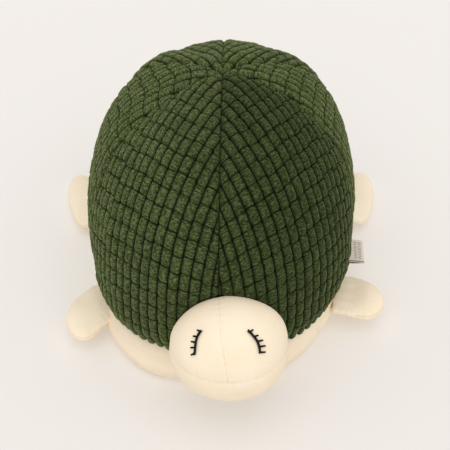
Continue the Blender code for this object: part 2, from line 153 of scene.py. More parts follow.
# How far from its seam each row of gathers reaches
BASE_GATHER_REACH = 0.005
MOUTH_GATHER_REACH = 0.004
FACE_GATHER_REACH = 0.0035
FLIPPER_GATHER_REACH = 0.0035

# Gaps left where panels are sewn together, in millimetres
GORE_GAP = 0.008
HEM_GAP = 0.1
BASE_GAP = 0.1
HEAD_GAP = 0.012
FLIPPER_GAP = 0.04
# Cloth thickness, backing and pile together
FABRIC = 0.0020
# Distances within which cut edges are welded and slivers dissolved
WELD = 0.02 * MM
SLIVER = 0.01 * MM

# Quilted pile: cells as wide as a rib and as long as a row
RIB_PITCH = 0.0072
ROW_PITCH = 0.0117
RIB_RISE = 0.0024
CROSS_GROOVE = 0.0009
CROSS_GROOVE_POWER = 1.4
# A rib's section across: how full it is, how steep its sides are, and how much a cross groove draws it together
RIB_FULLNESS = 2.5
RIB_STEEPNESS = 0.6
RIB_PINCH = 0.14
# How far a cell falls towards its ends and differs from the next, how far it dips in a cross groove, on its rib
# and beside it, after how many cells the differences repeat, and their seed
CELL_FALL = 0.12
CELL_UNEVEN = 0.10
CROSS_DIP = 0.36
CROSS_DIP_BESIDE = 0.22
UNEVEN_CELLS = 256
UNEVEN_SEED = 5
# How much painted shade the cross grooves and seams get, how much that differs, and the width of the painted
# shade line
CROSS_SHADE = 0.74
CROSS_SHADE_UNEVEN = 0.2
SEAM_SHADE = 0.2
SEAM_SHADE_DRAWN = 0.45
SHADE_LINE_WIDTH = 0.0006
# How far a rib's rows lie from its neighbour's, in rows, and where between the two ribs they ease over
ROW_JOG = 0.10
ROW_JOGS = 64
JOG_SEED = 11
JOG_START = 0.38
JOG_EASE = 0.24
# Layout of a gore's cloth: meridians of its fan and their margin past the seams, steps down it, the least
# length that a step keeps, and the rounds that place each point
FAN_LINES = 120
FAN_MARGIN = math.radians(12)
DOWN_STEPS = 900
LEAST_RUN = 0.15
SOLVE_ROUNDS = 40
# A gore between its seams: its puff, how far its cloth lies inside the solid besides the ribs' height, how much
# lower its ribs are at a seam and how near to it, and how far single tufts stand out
GORE_PUFF = 0.0012
GORE_SINK = 0.0005
SEAM_LOW = 0.45
SEAM_LOW_WIDTH = 0.0012
TUFT_RISE = 0.09 * MM
TUFT_SEED = 50
# How far, in millimetres, the ribs roll down over the hem and the grooves draw up, and from how high up
HEM_ROLL = 1.5
HEM_DRAW_UP = 0.5
HEM_ROLL_HEIGHT = 0.0026
# Depth of the shell's padding behind its cloth, and how much further in it lies along a seam
SHELL_PADDING = 0.0028
SEAM_SHARE_INSIDE = 0.9
# How the painted shade line along a seam wavers: by how much, wavelength and seed
SEAM_WAVER = (0.5, 0.012, 9)
# How far the brushed pile lies away from the light, by azimuth in degrees, which sets how much painted shade each
# gore gets
NAP_SHADE = ((-180, 0.0), (-90, 0.0), (-45, 0.1), (-8, 0.5), (8, 0.85), (58, 1.0), (70, 0.1), (180, 0.0))
# Azimuths of the six seams in degrees, from the nose towards +X and round to the nose
SEAMS = (0, 65, 120, 180, 240, 305, 360)
# Where each rib and row has its mesh lines, closest beside the grooves
RIB_STOPS = (-0.5, -0.465, -0.42, -0.36, -0.27, -0.14, 0.0, 0.14, 0.27, 0.36, 0.42, 0.465)
ROW_STOPS = (-0.5, -0.47, -0.435, -0.39, -0.30, -0.15, 0.0, 0.15, 0.30, 0.39, 0.435, 0.47)

# Flippers: root height and section, as the solids have them
FLIPPER_ROOT_HEIGHT = 0.0195
FLIPPER_ROOT_THICKNESS = 0.011
FLIPPER_THICKNESS = 0.018
FLIPPER_FLOOR_GAP = 0.0008
FLIPPER_SECTION_POWER = 0.85
FLIPPER_TIP_POWER = 0.8
# Shares of the reach at which a flipper has its full section and has come down, and at which its tip starts
FLIPPER_GROWN = 0.5
FLIPPER_TIP_START = 0.42
# Mesh sections inside the body, sections from there to the tip, how they crowd at its ends, and points round each
FLIPPER_ROOT_STATIONS = (-0.42, -0.26, -0.12)
FLIPPER_STATIONS = 15
FLIPPER_CROWDING = 1.1
FLIPPER_RING = 24
# How slack a flipper is sewn, how firmly and how wide its seam is held, how far out its root is held and over
# what share it comes free, and how far its filling may swell it
FLIPPER_SLACK = 0.0007
FLIPPER_HOLD = 0.8
FLIPPER_HOLD_WIDTH = 0.0015
FLIPPER_ROOT_HOLD = 0.12
FLIPPER_ROOT_EASE = 0.15
FLIPPER_SWELL = 0.0015
# Share of the reach that is gathered at the root
FLIPPER_ROOT_SHARE = 0.3
# Radius of a flipper's outline, along which its gathers are counted, and the depth of its padded wall
FLIPPER_ROUND = 0.022
FLIPPER_WALL = 0.0016
# Lowest places of a flipper's cloth outside and inside
FLIPPER_LOW = 0.0003
FLIPPER_LOW_INSIDE = 0.0009
# Steps of the filling's simulation, and levels of subdivision after it
FILLING_FRAMES = 20
ROUNDING_LEVELS = 3
# Each flipper: its side, place ahead of the crown, width, width at its root, reach, how far its tip lies
# forward, and how much of the way to the floor it comes down
FLIPPERS = {
    "front_left": {"side": 1, "ahead": 0.07, "width": 0.037, "root": 0.043,
                   "reach": 0.026, "shift": 0.002, "droop": 0.1},
    "front_right": {"side": -1, "ahead": 0.073, "width": 0.043, "root": 0.043,
                    "reach": 0.0285, "shift": 0.0105, "droop": 0.5},
    "rear_left": {"side": 1, "ahead": -0.029, "width": 0.062, "root": 0.036,
                  "reach": 0.0405, "shift": -0.046, "droop": 1.0},
    "rear_right": {"side": -1, "ahead": -0.029, "width": 0.062, "root": 0.036,
                   "reach": 0.0405, "shift": -0.05, "droop": 1.0},
}

# Gap between the body's wall and what hinges on it
SEAT_GAP = 0.3 * MM

# Label: its place ahead of the crown, width, free and hidden reach, pitch of its ticks, thickness of its tape,
# height of its fold, and how full the fold is
LABEL_SET = 0.031
LABEL_WIDTH = 0.026
LABEL_REACH = 0.0138
LABEL_HIDDEN = 0.0035
LABEL_TICK = 0.0019
LABEL_TAPE = 0.00045
LABEL_LOOP = 0.0022
LABEL_FOLD_POWER = 0.35
LABEL_ROWS = 40
LABEL_COLUMNS = 120
# How far its free end curls and ripples
LABEL_CURL = 0.0009
LABEL_RIPPLE = 0.00025
LABEL_RIPPLE_PITCH = 0.011
# The woven marks: their span across, how long each tick is, the two lines out along the tape, and the border
LABEL_MARKS = (-0.0105, 0.0095)
LABEL_TICK_EDGE = -0.1
LABEL_LINES = ((0.42, 0.6), (0.68, 0.86))
LABEL_BORDER = (0.0115, 0.0127)
LABEL_MARK_STRENGTH = 0.6

# Closed eyes: places across the face in millimetres and up it in degrees, then lashes from lid to tip
EYES = {
    "eye_left": {
        "lid": (
            (11.2, 68.0), (13.2, 64.6), (15.1, 60.6), (16.6, 56.6), (17.5, 52.0), (18.0, 47.4), (18.1, 42.6),
        ),
        "lashes": (
            ((12.2, 66.3), (14.4, 69.5)), ((14.8, 61.4), (17.4, 63.4)), ((16.9, 56.0), (20.2, 58.0)),
            ((17.8, 49.8), (21.6, 51.2)), ((18.1, 43.4), (21.6, 43.4)),
        ),
    },
    "eye_right": {
        "lid": (
            (-17.0, 70.5), (-18.6, 66.8), (-19.7, 62.4), (-20.4, 57.4), (-20.8, 52.0), (-21.0, 46.8),
            (-21.4, 41.6),
        ),
        "lashes": (
            ((-17.4, 69.6), (-19.6, 72.2)), ((-19.4, 63.4), (-22.0, 65.4)), ((-20.4, 57.0), (-23.2, 58.6)),
            ((-20.9, 50.4), (-23.6, 50.8)), ((-21.2, 43.8), (-23.4, 41.0)),
        ),
    },
}
EYE_STEPS = 8
# How far the stitches lie over the head's form
EYE_LIFT = 0.25 * MM
# Stitch widths in millimetres from the start of a line to its end
LID_STITCH = (1.7, 1.5)
LASH_STITCH = (1.3, 0.8)

# The two cloths: colours of the pile, of its brushed patches and the painted shade in its hollows, and of the
# painted highlight on its tips, which also tints the sheen; how much light the tips catch from the side, how far
# brushed patches and the hollows' painted shade show, tufts per metre, and how strongly and how high the tufts
# stand
QUILTED_CLOTH = {
    "pile": "#505d36", "shade": "#232e0d", "tip": "#99a273", "sheen": 1.0, "patches": 0.35, "hollow_shade": 0.85,
    "tufts": 980.0, "relief": 1.0, "height": 0.8 * MM,
}
CREAM_CLOTH = {
    "pile": "#faecd5", "shade": "#f7e2c3", "tip": "#fcf2de", "sheen": 0.1, "patches": 0.55, "hollow_shade": 0.2,
    "tufts": 1250.0, "relief": 0.35, "height": 0.3 * MM,
}

# Windows of the room: place, spread in degrees, power and colour
WINDOWS = {
    "front_window": ((0.05, -0.7, 1.0), 80, 1.32, "#fffdfa"),
    "top_window": ((-0.1, 0.35, 1.2), 70, 0.45, "#fffdfb"),
}
ROOM_COLOUR = "#fffefc"
ROOM_LIGHT = 0.57
FLOOR_HALF_SIDE = 4
FLOOR_COLOUR = "#c6c4c4"
FLOOR_GLOW_COLOUR = "#fff7ea"
FLOOR_GLOW = 0.3
CAMERA_PLACE = (-0.0118, -0.5188, 0.4658)
CAMERA_TARGET = (0.0012, -0.021, 0.048)
CAMERA_LENS = 67.84
CAMERA_SENSOR = 36


def linear(code):
    """An sRGB hex colour as linear red, green, blue and alpha."""
    parts = [int(code[i:i + 2], 16) / 255 for i in (1, 3, 5)]
    return (*[c / 12.92 if c <= 0.04045 else ((c + 0.055) / 1.055) ** 2.4 for c in parts], 1.0)


def add_node(tree, kind, settings=None, sockets=None):
    """Add a node with its settings, and give its sockets values or links."""
    node = tree.nodes.new(kind)
    for name, value in (settings or {}).items():
        setattr(node, name, value)
    for key, value in (sockets or {}).items():
        if isinstance(value, bpy.types.NodeSocket):
            tree.links.new(value, node.inputs[key])
        else:
            node.inputs[key].default_value = value
    return node


def smooth_step(share):
    """Ease from 0 to 1, flat at both ends."""
    share = np.clip(share, 0, 1)
    return share * share * (3 - 2 * share)


def bell(distance, width):
    """1 at no distance, falling away over a width."""
    return np.exp(-((distance / width) ** 2))


def lumps(points, wavelength, seed):
    """Smooth unevenness between about -1 and 1, with no repeat that shows."""
    random = np.random.default_rng(seed)
    ways = random.normal(size=(WAVES, 3))
    ways /= np.linalg.norm(ways, axis=1)[:, None]
    pitches = 2 * np.pi / wavelength * random.uniform(*WAVE_SPREAD, WAVES)
    phases = random.uniform(0, 2 * np.pi, WAVES)
    return np.sin(points @ (ways * pitches[:, None]).T + phases).sum(1) / WAVE_SUM


def tuck(distance, steps):
    """How deep cloth draws in at a distance from a seam."""
    return sum(depth * MM * bell(distance, width * MM) for depth, width in steps)


def wander(points, waves):
    """How far the filling lifts the cloth or lets it sink."""
    return sum(height * MM * lumps(points, wavelength, seed) for height, wavelength, seed in waves)


def gather(run, points, height, pitch, stray, wavelength, seed):
    """Small pleats side by side along a seam, none quite like the next."""
    return height * MM * np.sin(run / pitch * 2 * np.pi + stray * lumps(points, wavelength, seed))


def outline_reach(azimuth):
    """Distance from the crown's axis to the widest outline; azimuth 0 is the nose, positive towards +X."""
    ahead = np.where(np.cos(azimuth) > 0, BODY_FRONT_REACH, BODY_BACK_REACH)
    across = np.abs(np.sin(azimuth)) / BODY_HALF_WIDTH
    along = np.abs(np.cos(azimuth)) / ahead
    return (across**OUTLINE_POWER + along**OUTLINE_POWER) ** (-1 / OUTLINE_POWER)


def head_room(points):
    """Above 0 where a point lies behind the head, seen from the front."""
    across = (points[:, 0] - HEAD_CENTRE[0]) / (HEAD_HALF_WIDTH + HEAD_POCKET_ROOM)
    up = (points[:, 2] - HEAD_CENTRE[2]) / (HEAD_RADIUS + HEAD_POCKET_ROOM)
    return np.where(points[:, 1] < 0, 1 - across**2 - up**2, -1)


def press_pocket(points):
    """Push the body's front back to where the head presses into it."""
    room = head_room(points)
    back = HEAD_CENTRE[1] + (HEAD_RADIUS + HEAD_POCKET_ROOM) * np.sqrt(np.maximum(room, 0))
    points[:, 1] = np.where(room > 0, np.maximum(points[:, 1], back), points[:, 1])
    return points


def slew(points):
    """Stand the filled body a little askew, as it was set down, and press the head's pocket into it."""
    turned = points.copy()
    turned[:, 0] += BODY_SLEW * points[:, 1]
    return press_pocket(turned)


def shell_profile():
    """Heights and reach shares from the crown to the widest line and on under the hem."""
    lift = np.linspace(math.pi / 2, 0, PROFILE_STEPS)
    height = SHELL_WIDEST + (SHELL_TOP - SHELL_WIDEST) * np.sin(lift) ** DOME_RISE_POWER
    share = np.maximum(np.cos(lift), 0) ** DOME_REACH_POWER
    down = np.linspace(0, 1, TUCK_STEPS)[1:]
    low = SHELL_WIDEST - (SHELL_WIDEST - HEM_HEIGHT + UNDER_HEM) * down
    drop = (SHELL_WIDEST - low) / (SHELL_WIDEST - HEM_HEIGHT)
    return np.append(height, low), np.append(share, 1 - (1 - HEM_SHARE) * drop**TUCK_POWER)


def grid_faces(rows, columns, closed=False):
    """Quads of a grid of points, row by row; a closed grid joins its last column to its first."""
    wide = columns if closed else columns - 1
    row, column = np.meshgrid(np.arange(rows - 1), np.arange(wide), indexing="ij")
    here, beside = row * columns + column, row * columns + (column + 1) % columns
    return np.stack([here, here + columns, beside + columns, beside], -1).reshape(-1, 4)


def cut_pattern(points, faces, layers, planes):
    """Trim a mesh behind planes and give back its points, normals, faces and layers."""
    mesh = bpy.data.meshes.new("pattern piece")
    mesh.from_pydata(points.tolist(), [], [list(f) for f in faces])
    for name, values in layers.items():
        mesh.attributes.new(name, "FLOAT_VECTOR", "POINT").data.foreach_set("vector", values.ravel())
    form = bmesh.new()
    form.from_mesh(mesh)
    for point, normal in planes:
        everything = form.verts[:] + form.edges[:] + form.faces[:]
        bmesh.ops.bisect_plane(form, geom=everything, plane_co=point, plane_no=normal, clear_outer=True)
    bmesh.ops.remove_doubles(form, verts=form.verts, dist=WELD)
    bmesh.ops.dissolve_degenerate(form, edges=form.edges, dist=SLIVER)
    form.to_mesh(mesh)
    form.free()
    count = len(mesh.vertices)
    found = {}
    for name in layers:
        values = np.empty(count * 3)
        mesh.attributes[name].data.foreach_get("vector", values)
        found[name] = values.reshape(-1, 3)
    where, normals = np.empty(count * 3), np.empty(count * 3)
    mesh.vertices.foreach_get("co", where)
    mesh.vertex_normals.foreach_get("vector", normals)
    shapes = [tuple(p.vertices) for p in mesh.polygons]
    bpy.data.meshes.remove(mesh)
    return where.reshape(-1, 3), normals.reshape(-1, 3), shapes, found


def sew_panel(name, outer, inner, faces, material, layers=None):
    """Close an outer and an inner skin into one panel of cloth."""
    count = len(outer)
    ways = {(a, b) for face in faces for a, b in zip(face, face[1:] + face[:1])}
    border = sorted((a, b) for a, b in ways if (b, a) not in ways)
    skins = list(faces) + [tuple(i + count for i in reversed(face)) for face in faces]
    skins += [(b, a, a + count, b + count) for a, b in border]
    mesh = bpy.data.meshes.new(name)
    mesh.from_pydata(np.vstack([outer, inner]).tolist(), [], skins)
    for layer, values in (layers or {}).items():
        both = np.concatenate([values, values])
        if both.ndim == 1:
            mesh.attributes.new(layer, "FLOAT", "POINT").data.foreach_set("value", both)
        else:
            mesh.attributes.new(layer, "FLOAT_VECTOR", "POINT").data.foreach_set("vector", both.ravel())
    mesh.materials.append(material)
    mesh.shade_smooth()
    mesh.validate()
    panel = bpy.data.objects.new(name, mesh)
    bpy.context.scene.collection.objects.link(panel)
    return panel


# ---- Materials ----
def knitted_courses(tree, tufts):
    """Tufts of pile in knitted courses across each rib, 1.1 mm apart."""
    flat = add_node(tree, "ShaderNodeAttribute", {"attribute_name": "cloth_place"})
    stretched = add_node(tree, "ShaderNodeMapping", None, {
        "Vector": flat.outputs["Vector"], "Scale": (360.0, 900.0, 1.0)})
    courses = add_node(tree, "ShaderNodeTexNoise", None, {
        "Vector": stretched.outputs["Vector"], "Scale": 1.0, "Detail": 2.0})
    both = add_node(tree, "ShaderNodeMath", {"operation": "MULTIPLY_ADD"}, {
        0: courses.outputs["Fac"], 1: 0.8, 2: tufts})
    # Their sum, brought back to the tufts' own range
    level = add_node(tree, "ShaderNodeMath", {"operation": "MULTIPLY"}, {0: both.outputs["Value"], 1: 0.556})
    return level.outputs["Value"]


def shade_quilting(tree, shader, colour, sheen):
    """What quilting does to a pile's colour: painted shade in the grooves and where the pile lies away from the
    light, and tips that catch the light.
    """
    # Painted shade in the quilting's grooves, cross grooves and seams, for the light that the close pile there
    # keeps out
    depth = add_node(tree, "ShaderNodeAttribute", {"attribute_name": "painted_groove_shade"})
    painted_shade = add_node(tree, "ShaderNodeMapRange", None, {
        "Value": depth.outputs["Fac"], "From Min": 0.1, "From Max": 0.8, "To Min": 0.0, "To Max": 0.94})
    deep = add_node(tree, "ShaderNodeMix", {"data_type": "RGBA"}, {
        "Factor": painted_shade.outputs["Result"], "A": colour, "B": linear("#0b1500")})
    # Painted shade where the pile lies away from the light: the colour is darkened there
    nap_shade = add_node(tree, "ShaderNodeAttribute", {"attribute_name": "nap_painted_shade"})
    nap_shaded = add_node(tree, "ShaderNodeMix", {"data_type": "RGBA", "blend_type": "MULTIPLY"}, {
        "Factor": nap_shade.outputs["Fac"], "A": deep.outputs["Result"], "B": linear("#abb4a4")})
    # Only the tips along the ribs catch the light
    glow = add_node(tree, "ShaderNodeMapRange", None, {
        "Value": painted_shade.outputs["Result"], "From Min": 0.0, "From Max": 0.9, "To Min": sheen, "To Max": 0.0})
    tree.links.new(glow.outputs["Result"], shader.inputs["Sheen Weight"])
    return nap_shaded.outputs["Result"]


def velboa(name, cloth, quilted):
    """Short polyester pile: soft, no gloss, with painted shade between its tufts and a painted highlight along
    their tips.
    """
    material = bpy.data.materials.new(name)
    material.use_nodes = True
    tree = material.node_tree
    shader = tree.nodes["Principled BSDF"]
    place = add_node(tree, "ShaderNodeTexCoord").outputs["Object"]
    # Brushed patches about 24 mm across, where the pile lies another way
    patches = add_node(tree, "ShaderNodeTexNoise", None, {"Vector": place, "Scale": 42.0, "Detail": 3.0})
    patch_share = add_node(tree, "ShaderNodeMapRange", None, {
        "Value": patches.outputs["Fac"], "From Min": 0.35, "From Max": 0.68,
        "To Min": 0.0, "To Max": cloth["patches"]})
    tone = add_node(tree, "ShaderNodeMix", {"data_type": "RGBA"}, {
        "Factor": patch_share.outputs["Result"], "A": linear(cloth["pile"]), "B": linear(cloth["shade"])})
    # Tufts of fibre, about 1 mm across on the quilted cloth and 0.8 mm on the cream
    tufts = add_node(tree, "ShaderNodeTexNoise", None, {
        "Vector": place, "Scale": cloth["tufts"], "Detail": 4.0, "Roughness": 0.65})
    height = knitted_courses(tree, tufts.outputs["Fac"]) if quilted else tufts.outputs["Fac"]
    # Painted shade in the hollows between the tufts and a painted highlight along their tips, both following the
    # tufts' height
    between = add_node(tree, "ShaderNodeMapRange", None, {
        "Value": height, "From Min": 0.5, "From Max": 0.4, "To Min": 0.0, "To Max": cloth["hollow_shade"]})
    painted_hollow = add_node(tree, "ShaderNodeMix", {"data_type": "RGBA"}, {
        "Factor": between.outputs["Result"], "A": tone.outputs["Result"], "B": linear(cloth["shade"])})
    along = add_node(tree, "ShaderNodeMapRange", None, {
        "Value": height, "From Min": 0.5, "From Max": 0.6, "To Min": 0.0, "To Max": 0.42})
    painted_tip = add_node(tree, "ShaderNodeMix", {"data_type": "RGBA"}, {
        "Factor": along.outputs["Result"], "A": painted_hollow.outputs["Result"], "B": linear(cloth["tip"])})
    colour = painted_tip.outputs["Result"]
    shader.inputs["Sheen Weight"].default_value = cloth["sheen"]
    if quilted:
        colour = shade_quilting(tree, shader, colour, cloth["sheen"])
    bump = add_node(tree, "ShaderNodeBump", None, {
        "Height": height, "Strength": cloth["relief"], "Distance": cloth["height"]})
    tree.links.new(colour, shader.inputs["Base Color"])
    tree.links.new(bump.outputs["Normal"], shader.inputs["Normal"])
    shader.inputs["Roughness"].default_value = 0.95
    shader.inputs["Specular IOR Level"].default_value = 0.1
    shader.inputs["Sheen Roughness"].default_value = 0.3
    shader.inputs["Sheen Tint"].default_value = linear(cloth["tip"])
    return material


def rayon_thread():
    """Embroidery rayon: black, twisted, with a soft gloss along each stitch."""
    material = bpy.data.materials.new("black_embroidery_rayon")
    material.use_nodes = True
    tree = material.node_tree
    shader = tree.nodes["Principled BSDF"]
    place = add_node(tree, "ShaderNodeTexCoord").outputs["Object"]
    # The twist of the thread, about 0.3 mm apart
    twist = add_node(tree, "ShaderNodeTexWave", {"bands_direction": "DIAGONAL"}, {
        "Vector": place, "Scale": 1300.0, "Distortion": 2.0})
    bump = add_node(tree, "ShaderNodeBump", None, {
        "Height": twist.outputs["Fac"], "Strength": 0.3, "Distance": 0.05 * MM})
    tone = add_node(tree, "ShaderNodeMix", {"data_type": "RGBA"}, {
        "Factor": twist.outputs["Fac"], "A": linear("#080706"), "B": linear("#171412")})
    tree.links.new(tone.outputs["Result"], shader.inputs["Base Color"])
    tree.links.new(bump.outputs["Normal"], shader.inputs["Normal"])
    shader.inputs["Roughness"].default_value = 0.6
    shader.inputs["Specular IOR Level"].default_value = 0.2
    return material


def woven_tape():
    """Polyester label tape: fine damask weave, slightly silky."""
    material = bpy.data.materials.new("woven_label_tape")
    material.use_nodes = True
    tree = material.node_tree
    shader = tree.nodes["Principled BSDF"]
    flat = add_node(tree, "ShaderNodeAttribute", {"attribute_name": "cloth_place"})
    # Warp and weft, drawn 1 mm apart, coarser than the real 0.2 mm so that they show
    warp = add_node(tree, "ShaderNodeTexWave", {"bands_direction": "X"}, {
        "Vector": flat.outputs["Vector"], "Scale": 320.0})
    weft = add_node(tree, "ShaderNodeTexWave", {"bands_direction": "Y"}, {
        "Vector": flat.outputs["Vector"], "Scale": 320.0})
    weave = add_node(tree, "ShaderNodeMath", {"operation": "MULTIPLY"}, {
        0: warp.outputs["Fac"], 1: weft.outputs["Fac"]})
    tone = add_node(tree, "ShaderNodeMix", {"data_type": "RGBA"}, {
        "Factor": weave.outputs["Value"], "A": linear("#e2d8c8"), "B": linear("#f5efe4")})
    # A plain border and ticks in brown weft
    marks = add_node(tree, "ShaderNodeAttribute", {"attribute_name": "brown_weft"})
    woven = add_node(tree, "ShaderNodeMix", {"data_type": "RGBA"}, {
        "Factor": marks.outputs["Fac"], "A": tone.outputs["Result"], "B": linear("#6f4a3c")})
    bump = add_node(tree, "ShaderNodeBump", None, {
        "Height": weave.outputs["Value"], "Strength": 0.4, "Distance": 0.08 * MM})
    tree.links.new(woven.outputs["Result"], shader.inputs["Base Color"])
    tree.links.new(bump.outputs["Normal"], shader.inputs["Normal"])
    shader.inputs["Roughness"].default_value = 0.6
    shader.inputs["Sheen Weight"].default_value = 0.2
    return material


# ---- Quilted shell ----
def jog_rows(column):
    """How far a rib's cross grooves lie from its neighbours', easing over within the grooves."""
    rib = np.floor(column).astype(int)
    jogs = np.random.default_rng(JOG_SEED).uniform(-ROW_JOG, ROW_JOG, ROW_JOGS)
    share = smooth_step((column - rib - JOG_START) / JOG_EASE)
    return jogs[rib % ROW_JOGS] * (1 - share) + jogs[(rib + 1) % ROW_JOGS] * share


def solve_flat(across, along, mean_reach, fan, layout, share):
    """Find the meridian and profile step of each place in a gore's flat cloth."""
    distances, table = layout
    rows = np.clip(along / distances[-1], 0, 1) * (len(distances) - 1)
    low = np.minimum(rows.astype(int), len(distances) - 2)
    part = rows - low
    turn = np.zeros_like(across)
    step = None
    for _ in range(SOLVE_ROUNDS):
        spot = np.clip((turn - fan[0]) / (fan[-1] - fan[0]), 0, 1) * (len(fan) - 1)
        left = np.minimum(spot.astype(int), len(fan) - 2)
        side = spot - left
        near = table[left, low] * (1 - part) + table[left, low + 1] * part
        far = table[left + 1, low] * (1 - part) + table[left + 1, low + 1] * part
        down = near * (1 - side) + far * side
        step = down if step is None else (step + down) / 2
        reach = np.maximum(np.interp(step, np.arange(len(share)), share), 1e-5)
        bend = np.clip(across / np.interp(turn, fan, mean_reach), -math.pi / 2, math.pi / 2)
        found = np.clip(np.arcsin(np.clip(np.sin(bend) / reach, -1, 1)), fan[0], fan[-1])
        turn = (turn + found) / 2
    return turn, step


def gore_cloth(middle, spread):
    """A gore's cloth laid with its ribs along a line of azimuth: points, faces, and places in cells."""
    height, share = shell_profile()
    fan = np.linspace(-spread - FAN_MARGIN, spread + FAN_MARGIN, FAN_LINES)
    reach = outline_reach(middle + fan)
    edge = np.stack([reach * np.sin(middle + fan), -reach * np.cos(middle + fan)], -1)
    arc = np.append(0, np.cumsum(np.linalg.norm(np.diff(edge, axis=0), axis=1)))
    arc -= np.interp(0, fan, arc)
    mean_reach = arc / fan
    # How far down the cloth each meridian lies, once the part of its way that leads sideways is left out
    beside = mean_reach[:, None] * np.arcsin(share * np.sin(fan)[:, None])
    down = (outline_reach(middle) * np.diff(share)) ** 2 + np.diff(height) ** 2
    run = np.sqrt(np.maximum(down - np.diff(beside, axis=1) ** 2, LEAST_RUN * down))
    distance = np.concatenate([np.zeros((len(fan), 1)), np.cumsum(run, axis=1)], axis=1)
    distances = np.linspace(0, distance.max(), DOWN_STEPS)
    table = np.stack([np.interp(distances, line, np.arange(len(share))) for line in distance])
    ribs = math.ceil(np.interp(spread, fan, arc) / RIB_PITCH) + 2
    rows = math.ceil(distances[-1] / ROW_PITCH) + 1
    columns = np.array([rib + stop for rib in range(-ribs, ribs + 1) for stop in RIB_STOPS])
    lines = np.array([row + stop + 0.5 for row in range(rows) for stop in ROW_STOPS])
    line, column = np.meshgrid(lines, columns, indexing="ij")
    line, column = line.ravel(), column.ravel()
    across = column * RIB_PITCH
    along = np.maximum(line + jog_rows(column), 0) * ROW_PITCH
    turn, step = solve_flat(across, along, mean_reach, fan, (distances, table), share)
    steps = np.arange(len(share))
    far = np.interp(step, steps, share) * outline_reach(middle + turn)
    azimuth = middle + turn
    points = np.stack([far * np.sin(azimuth), -far * np.cos(azimuth), np.interp(step, steps, height)], -1)
    cells = np.stack([column, line, np.zeros_like(line)], -1)
    return points, grid_faces(len(lines), len(columns)), cells


def quilting(cells, seed):
    """How high the quilting stands, 0 in a groove and about 1 on a rib, and how much painted shade its grooves
    get.
    """
    column, line = cells[:, 0], cells[:, 1]
    rib, row = np.round(column), np.floor(line)
    along = np.abs(line - row - 0.5)
    crease = (0.5 - along) * ROW_PITCH
    pinch = np.exp(-((crease / CROSS_GROOVE) ** CROSS_GROOVE_POWER))
    across = np.minimum(np.abs(column - rib) * 2 * (1 + RIB_PINCH * pinch), 1)
    crown = (1 - across**RIB_FULLNESS) ** RIB_STEEPNESS
    pillow = 1 - CELL_FALL * (2 * along) ** 4
    key = (rib * 37 + row * 101 + seed * 13).astype(int) % UNEVEN_CELLS
    uneven = np.random.default_rng(UNEVEN_SEED).uniform(-1, 1, UNEVEN_CELLS)[key]
    height = crown * (pillow + CELL_UNEVEN * uneven - CROSS_DIP * pinch)
    height -= CROSS_DIP_BESIDE * pinch * (1 - crown)
    # Painted shade: a dark line along each cross groove, laid into the colour
    painted_shade = (CROSS_SHADE + CROSS_SHADE_UNEVEN * uneven) * bell(crease, SHADE_LINE_WIDTH)
    return height, np.maximum(1 - crown, painted_shade)


def back_folds(points):
    """How deep the folds lie that run from the crown over the back."""
    depth = np.zeros(len(points))
    for azimuth, deep, width in BACK_FOLDS:
        out = np.array([math.sin(math.radians(azimuth)), -math.cos(math.radians(azimuth))])
        beside = points[:, 0] * out[1] - points[:, 1] * out[0]
        depth += deep * bell(beside, width) * (points[:, :2] @ out > 0)
    far = smooth_step((np.hypot(points[:, 0], points[:, 1]) - FOLD_START) / FOLD_EASE)
    return depth * (far * smooth_step((points[:, 2] - FOLD_FOOT) / FOLD_FOOT_EASE))


